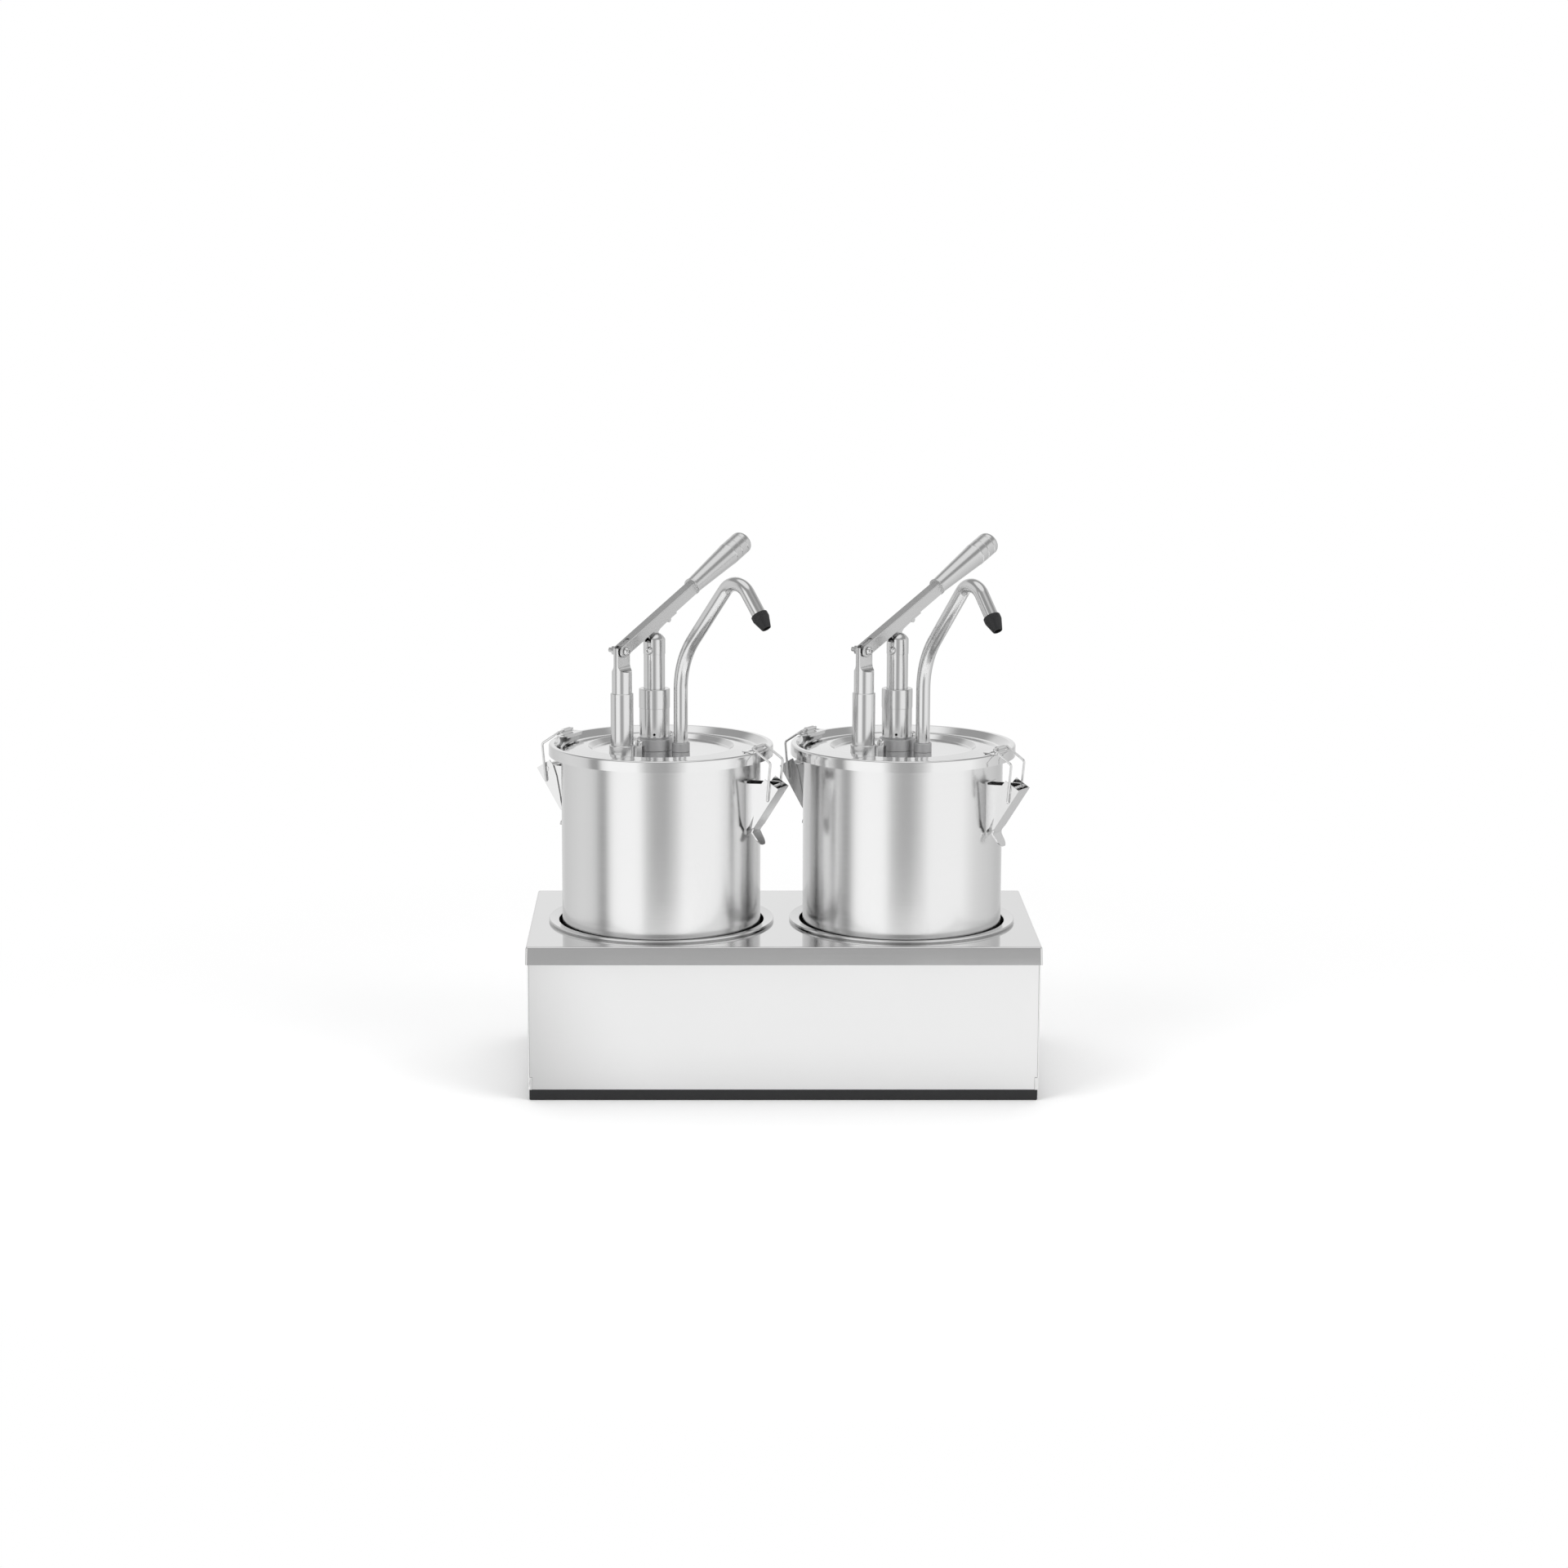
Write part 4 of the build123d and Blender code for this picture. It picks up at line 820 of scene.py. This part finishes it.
class DISPENSER_OT_ease_edges(bpy.types.Operator):
    """Round off the edges of walls and frame, of latches and levers, and of posts, pumps and rings"""

    bl_idname = "dispenser.ease_edges"
    bl_label = "Ease edges"

    def execute(self, context):
        sizes = settings("shapes")
        for node in EASED_BASE:
            ease_node(node, sizes.wall_break)
        for side in SIDES:
            for node in EASED_SHEET:
                ease_node(node + "_" + side, sizes.edge_break)
            for node in EASED_TURNED:
                ease_node(node + "_" + side, sizes.turned_break)
        return {"FINISHED"}


class DISPENSER_OT_seat_springs(bpy.types.Operator):
    """Seat the return springs as smoothed copies of their nodes, each with a mesh of its own"""

    bl_idname = "dispenser.seat_springs"
    bl_label = "Seat springs"

    def execute(self, context):
        stroke = settings("shapes").stroke
        for side in SIDES:
            node = "return_spring_" + side
            spring = copy_of_node(node, "seated_spring_" + side)
            smooth(spring, 70)
            take_place(spring, node)
            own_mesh(spring)
        return {"FINISHED"}


class DISPENSER_OT_finish_nodes(bpy.types.Operator):
    """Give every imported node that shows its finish"""

    bl_idname = "dispenser.finish_nodes"
    bl_label = "Finish packed pieces"

    def execute(self, context):
        for name, node in frame["nodes"].items():
            if not node.hide_render:
                node.material_slots[0].material = finish_for(name)
        return {"FINISHED"}


# Studio

# Grey of the walls that metal mirrors, by degrees round from the front towards the right
WALLS = (
    (-180, 0.92), (-160, 0.74), (-144, 0.68), (-122, 0.75), (-104, 0.80), (-88, 0.78),
    (-80, 0.70), (-74, 0.40), (-67, 0.36), (-61, 0.95), (-54, 1.12), (-24, 1.12),
    (-14, 0.62), (-6, 0.47), (6, 0.45), (16, 0.66), (28, 1.06), (70, 1.06),
    (80, 0.92), (93, 0.80), (122, 0.70), (136, 0.62), (152, 0.62), (166, 0.80),
)
# Where the walls end and where the light overhead begins, as the height of a direction of length 1
WALL_TOP = (0.45, 0.62)
LIGHT_EDGE = (0.82, 0.92)

TABLE_SIZE = 14.0
TABLE_GREY, TABLE_ROUGHNESS, TABLE_GLOSS = 0.90, 0.6, 0.1
TABLE_FADE = (0.35, 0.9)  # metres from the middle
# The part of the table that metal mirrors: across each axis, where it is clear and where it is full
CARD_TURN = math.radians(8)
CARD_EDGES = (("Y", -0.75, -0.66), ("Y", 0.30, 0.12), ("X", -0.30, -0.08), ("X", 0.50, 0.36))

LAMPS = (  # name, place, the point it looks at, size in metres and power in watts
    ("window_left", (-1.6, -1.4, 1.7), (0, 0, 0.2), 1.5, 26.0),
    ("window_right", (1.7, -1.2, 1.5), (0, 0, 0.2), 1.5, 22.0),
    ("overhead", (0.0, 0.3, 2.2), (0, 0, 0.1), 1.8, 26.0),
)
SENSOR_WIDTH, VIEW_END = 36.0, 50.0


def fill_walls(ramp):
    """Set the ramp's stops from the greys of the walls, with the first again at its end."""
    stops = [((degrees + 180) / 360, level) for degrees, level in WALLS]
    stops.append((1.0, WALLS[0][1]))
    ramp.elements.remove(ramp.elements[-1])
    for place, _ in stops[1:]:
        ramp.elements.new(place)
    for element, (place, level) in zip(ramp.elements, stops):
        element.position = place
        element.color = (level, level, level, 1)


def studio_world(studio):
    """White to the camera; metal mirrors walls of many greys, a grey ceiling and a light overhead."""
    world = bpy.data.worlds.new("studio")
    bpy.context.scene.world = world
    world.use_nodes = True
    world.node_tree.nodes.clear()
    bench = Bench(world)
    way = bench.add("ShaderNodeSeparateXYZ", Vector=bench.coordinates.outputs["Generated"]).outputs
    azimuth = bench.calculate("ARCTAN2", way["X"], bench.calculate("MULTIPLY", way["Y"], -1.0))
    walls = bench.add("ShaderNodeValToRGB", Fac=bench.between(azimuth, 0.0, 1.0, -math.pi, math.pi))
    fill_walls(walls.color_ramp)
    above = bench.between(way["Z"], studio.ceiling, 1.0, *LIGHT_EDGE, "SMOOTHSTEP")
    dome = bench.mix_colours(bench.ease_in(way["Z"], *WALL_TOP), walls.outputs["Color"], above)
    ambient = bench.add("ShaderNodeBackground", Strength=studio.ambient)
    mirrored = bench.add("ShaderNodeBackground", Color=dome)
    white = bench.add("ShaderNodeBackground", Color=(1, 1, 1, 1))
    ray = bench.add("ShaderNodeLightPath").outputs
    light = bench.mix_shaders(ray["Is Glossy Ray"], ambient.outputs[0], mirrored.outputs[0])
    seen = bench.calculate("MAXIMUM", ray["Is Camera Ray"], ray["Is Transmission Ray"])
    final = bench.mix_shaders(seen, light, white.outputs[0])
    bench.add("ShaderNodeOutputWorld", Surface=final)


def table_material():
    """Pale table that fades to white far out and keeps the shadow; metal mirrors only its card."""
    bench = new_bench("pale_table")
    grey = (TABLE_GREY, TABLE_GREY, TABLE_GREY, 1)
    bench.dress(Base_Color=grey, Roughness=TABLE_ROUGHNESS, Specular_IOR_Level=TABLE_GLOSS)
    ray = bench.add("ShaderNodeLightPath").outputs
    distance = bench.add("ShaderNodeVectorMath", operation="LENGTH")
    bench.feed(distance.inputs[0], bench.coordinates.outputs["Object"])
    fade = bench.ease_in(distance.outputs["Value"], *TABLE_FADE)
    far = bench.calculate("MULTIPLY", fade, ray["Is Camera Ray"])
    white = bench.add("ShaderNodeEmission")
    seen = bench.mix_shaders(far, bench.shader.outputs[0], white.outputs[0])
    slanted = bench.add("ShaderNodeSeparateXYZ", Vector=bench.mapped(EVEN, turn=(0, 0, CARD_TURN))).outputs
    card = 1.0
    for axis, clear, full in CARD_EDGES:
        card = bench.calculate("MULTIPLY", card, bench.ease_in(slanted[axis], clear, full))
    beyond = bench.calculate("MULTIPLY", bench.calculate("SUBTRACT", 1.0, card), ray["Is Glossy Ray"])
    gone = bench.add("ShaderNodeBsdfTransparent")
    whole = bench.mix_shaders(beyond, seen, gone.outputs[0])
    bench.feed(bench.tree.nodes["Material Output"].inputs["Surface"], whole)
    return bench.owner


def soft_lamp(name, place, target, size, power):
    """Square area lamp that points at a place and isn't mirrored in metal."""
    deselect_all()
    bpy.ops.object.light_add(type="AREA", location=place)
    lamp = bpy.context.object
    lamp.name = name
    lamp.data.shape = "SQUARE"
    lamp.data.size = size
    lamp.data.energy = power
    way = Vector(target) - Vector(place)
    lamp.rotation_euler = way.to_track_quat("-Z", "Y").to_euler()
    lamp.visible_glossy = False


class DISPENSER_OT_set_stage(bpy.types.Operator):
    """Set up the pale table, the soft light and the camera"""

    bl_idname = "dispenser.set_stage"
    bl_label = "Set stage"

    def execute(self, context):
        studio = settings("studio")
        studio_world(studio)
        deselect_all()
        bpy.ops.mesh.primitive_plane_add(size=TABLE_SIZE, location=(0, 0, 0))
        table = context.object
        table.name = "table"
        table.data.materials.append(table_material())
        for lamp in LAMPS:
            soft_lamp(*lamp)
        deselect_all()
        bpy.ops.object.camera_add(
            location=studio.camera_place, rotation=(math.radians(90) - studio.camera_pitch, 0, 0)
        )
        camera = context.object
        camera.name = "camera"
        camera.data.sensor_width = SENSOR_WIDTH
        camera.data.lens = studio.lens
        camera.data.shift_x = studio.camera_shift
        camera.data.clip_end = VIEW_END
        context.scene.camera = camera
        context.scene.view_settings.view_transform = "Standard"
        return {"FINISHED"}


class DISPENSER_PT_panel(bpy.types.Panel):
    """Lists the steps of the model"""

    bl_label = "Sauce dispenser"
    bl_idname = "DISPENSER_PT_panel"
    bl_space_type = "VIEW_3D"
    bl_region_type = "UI"
    bl_category = "Dispenser"

    def draw(self, context):
        for step in STEPS:
            self.layout.operator(step.bl_idname)
        for group in GROUPS:
            box = self.layout.box()
            values = settings(group)
            for key in values.bl_rna.properties.keys():
                if key not in {"rna_type", "name"}:
                    box.prop(values, key)


STEPS = (
    DISPENSER_OT_press_plate,
    DISPENSER_OT_turn_rings,
    DISPENSER_OT_press_lids,
    DISPENSER_OT_turn_grips,
    DISPENSER_OT_bend_spouts,
    DISPENSER_OT_mould_nozzles,
    DISPENSER_OT_ease_edges,
    DISPENSER_OT_seat_springs,
    DISPENSER_OT_finish_nodes,
    DISPENSER_OT_set_stage,
)
GROUPS = {"shapes": DispenserShapes, "colours": DispenserColours, "studio": StudioSettings}


def register():
    """Register the classes and hang the property groups on the scene."""
    for group in GROUPS.values():
        bpy.utils.register_class(group)
    for step in STEPS:
        bpy.utils.register_class(step)
    bpy.utils.register_class(DISPENSER_PT_panel)
    for name, group in GROUPS.items():
        setattr(bpy.types.Scene, "dispenser_" + name, bpy.props.PointerProperty(type=group))


def unregister():
    """Take the property groups and classes away again."""
    for name in GROUPS:
        delattr(bpy.types.Scene, "dispenser_" + name)
    bpy.utils.unregister_class(DISPENSER_PT_panel)
    for step in reversed(STEPS):
        bpy.utils.unregister_class(step)
    for group in reversed(GROUPS.values()):
        bpy.utils.unregister_class(group)


def main():
    """Register the classes and run every step in order."""
    register()
    bpy.ops.dispenser.press_plate()
    bpy.ops.dispenser.turn_rings()
    bpy.ops.dispenser.press_lids()
    bpy.ops.dispenser.turn_grips()
    bpy.ops.dispenser.bend_spouts()
    bpy.ops.dispenser.mould_nozzles()
    bpy.ops.dispenser.ease_edges()
    bpy.ops.dispenser.seat_springs()
    bpy.ops.dispenser.finish_nodes()
    bpy.ops.dispenser.set_stage()


if __name__ == "__main__":
    main()
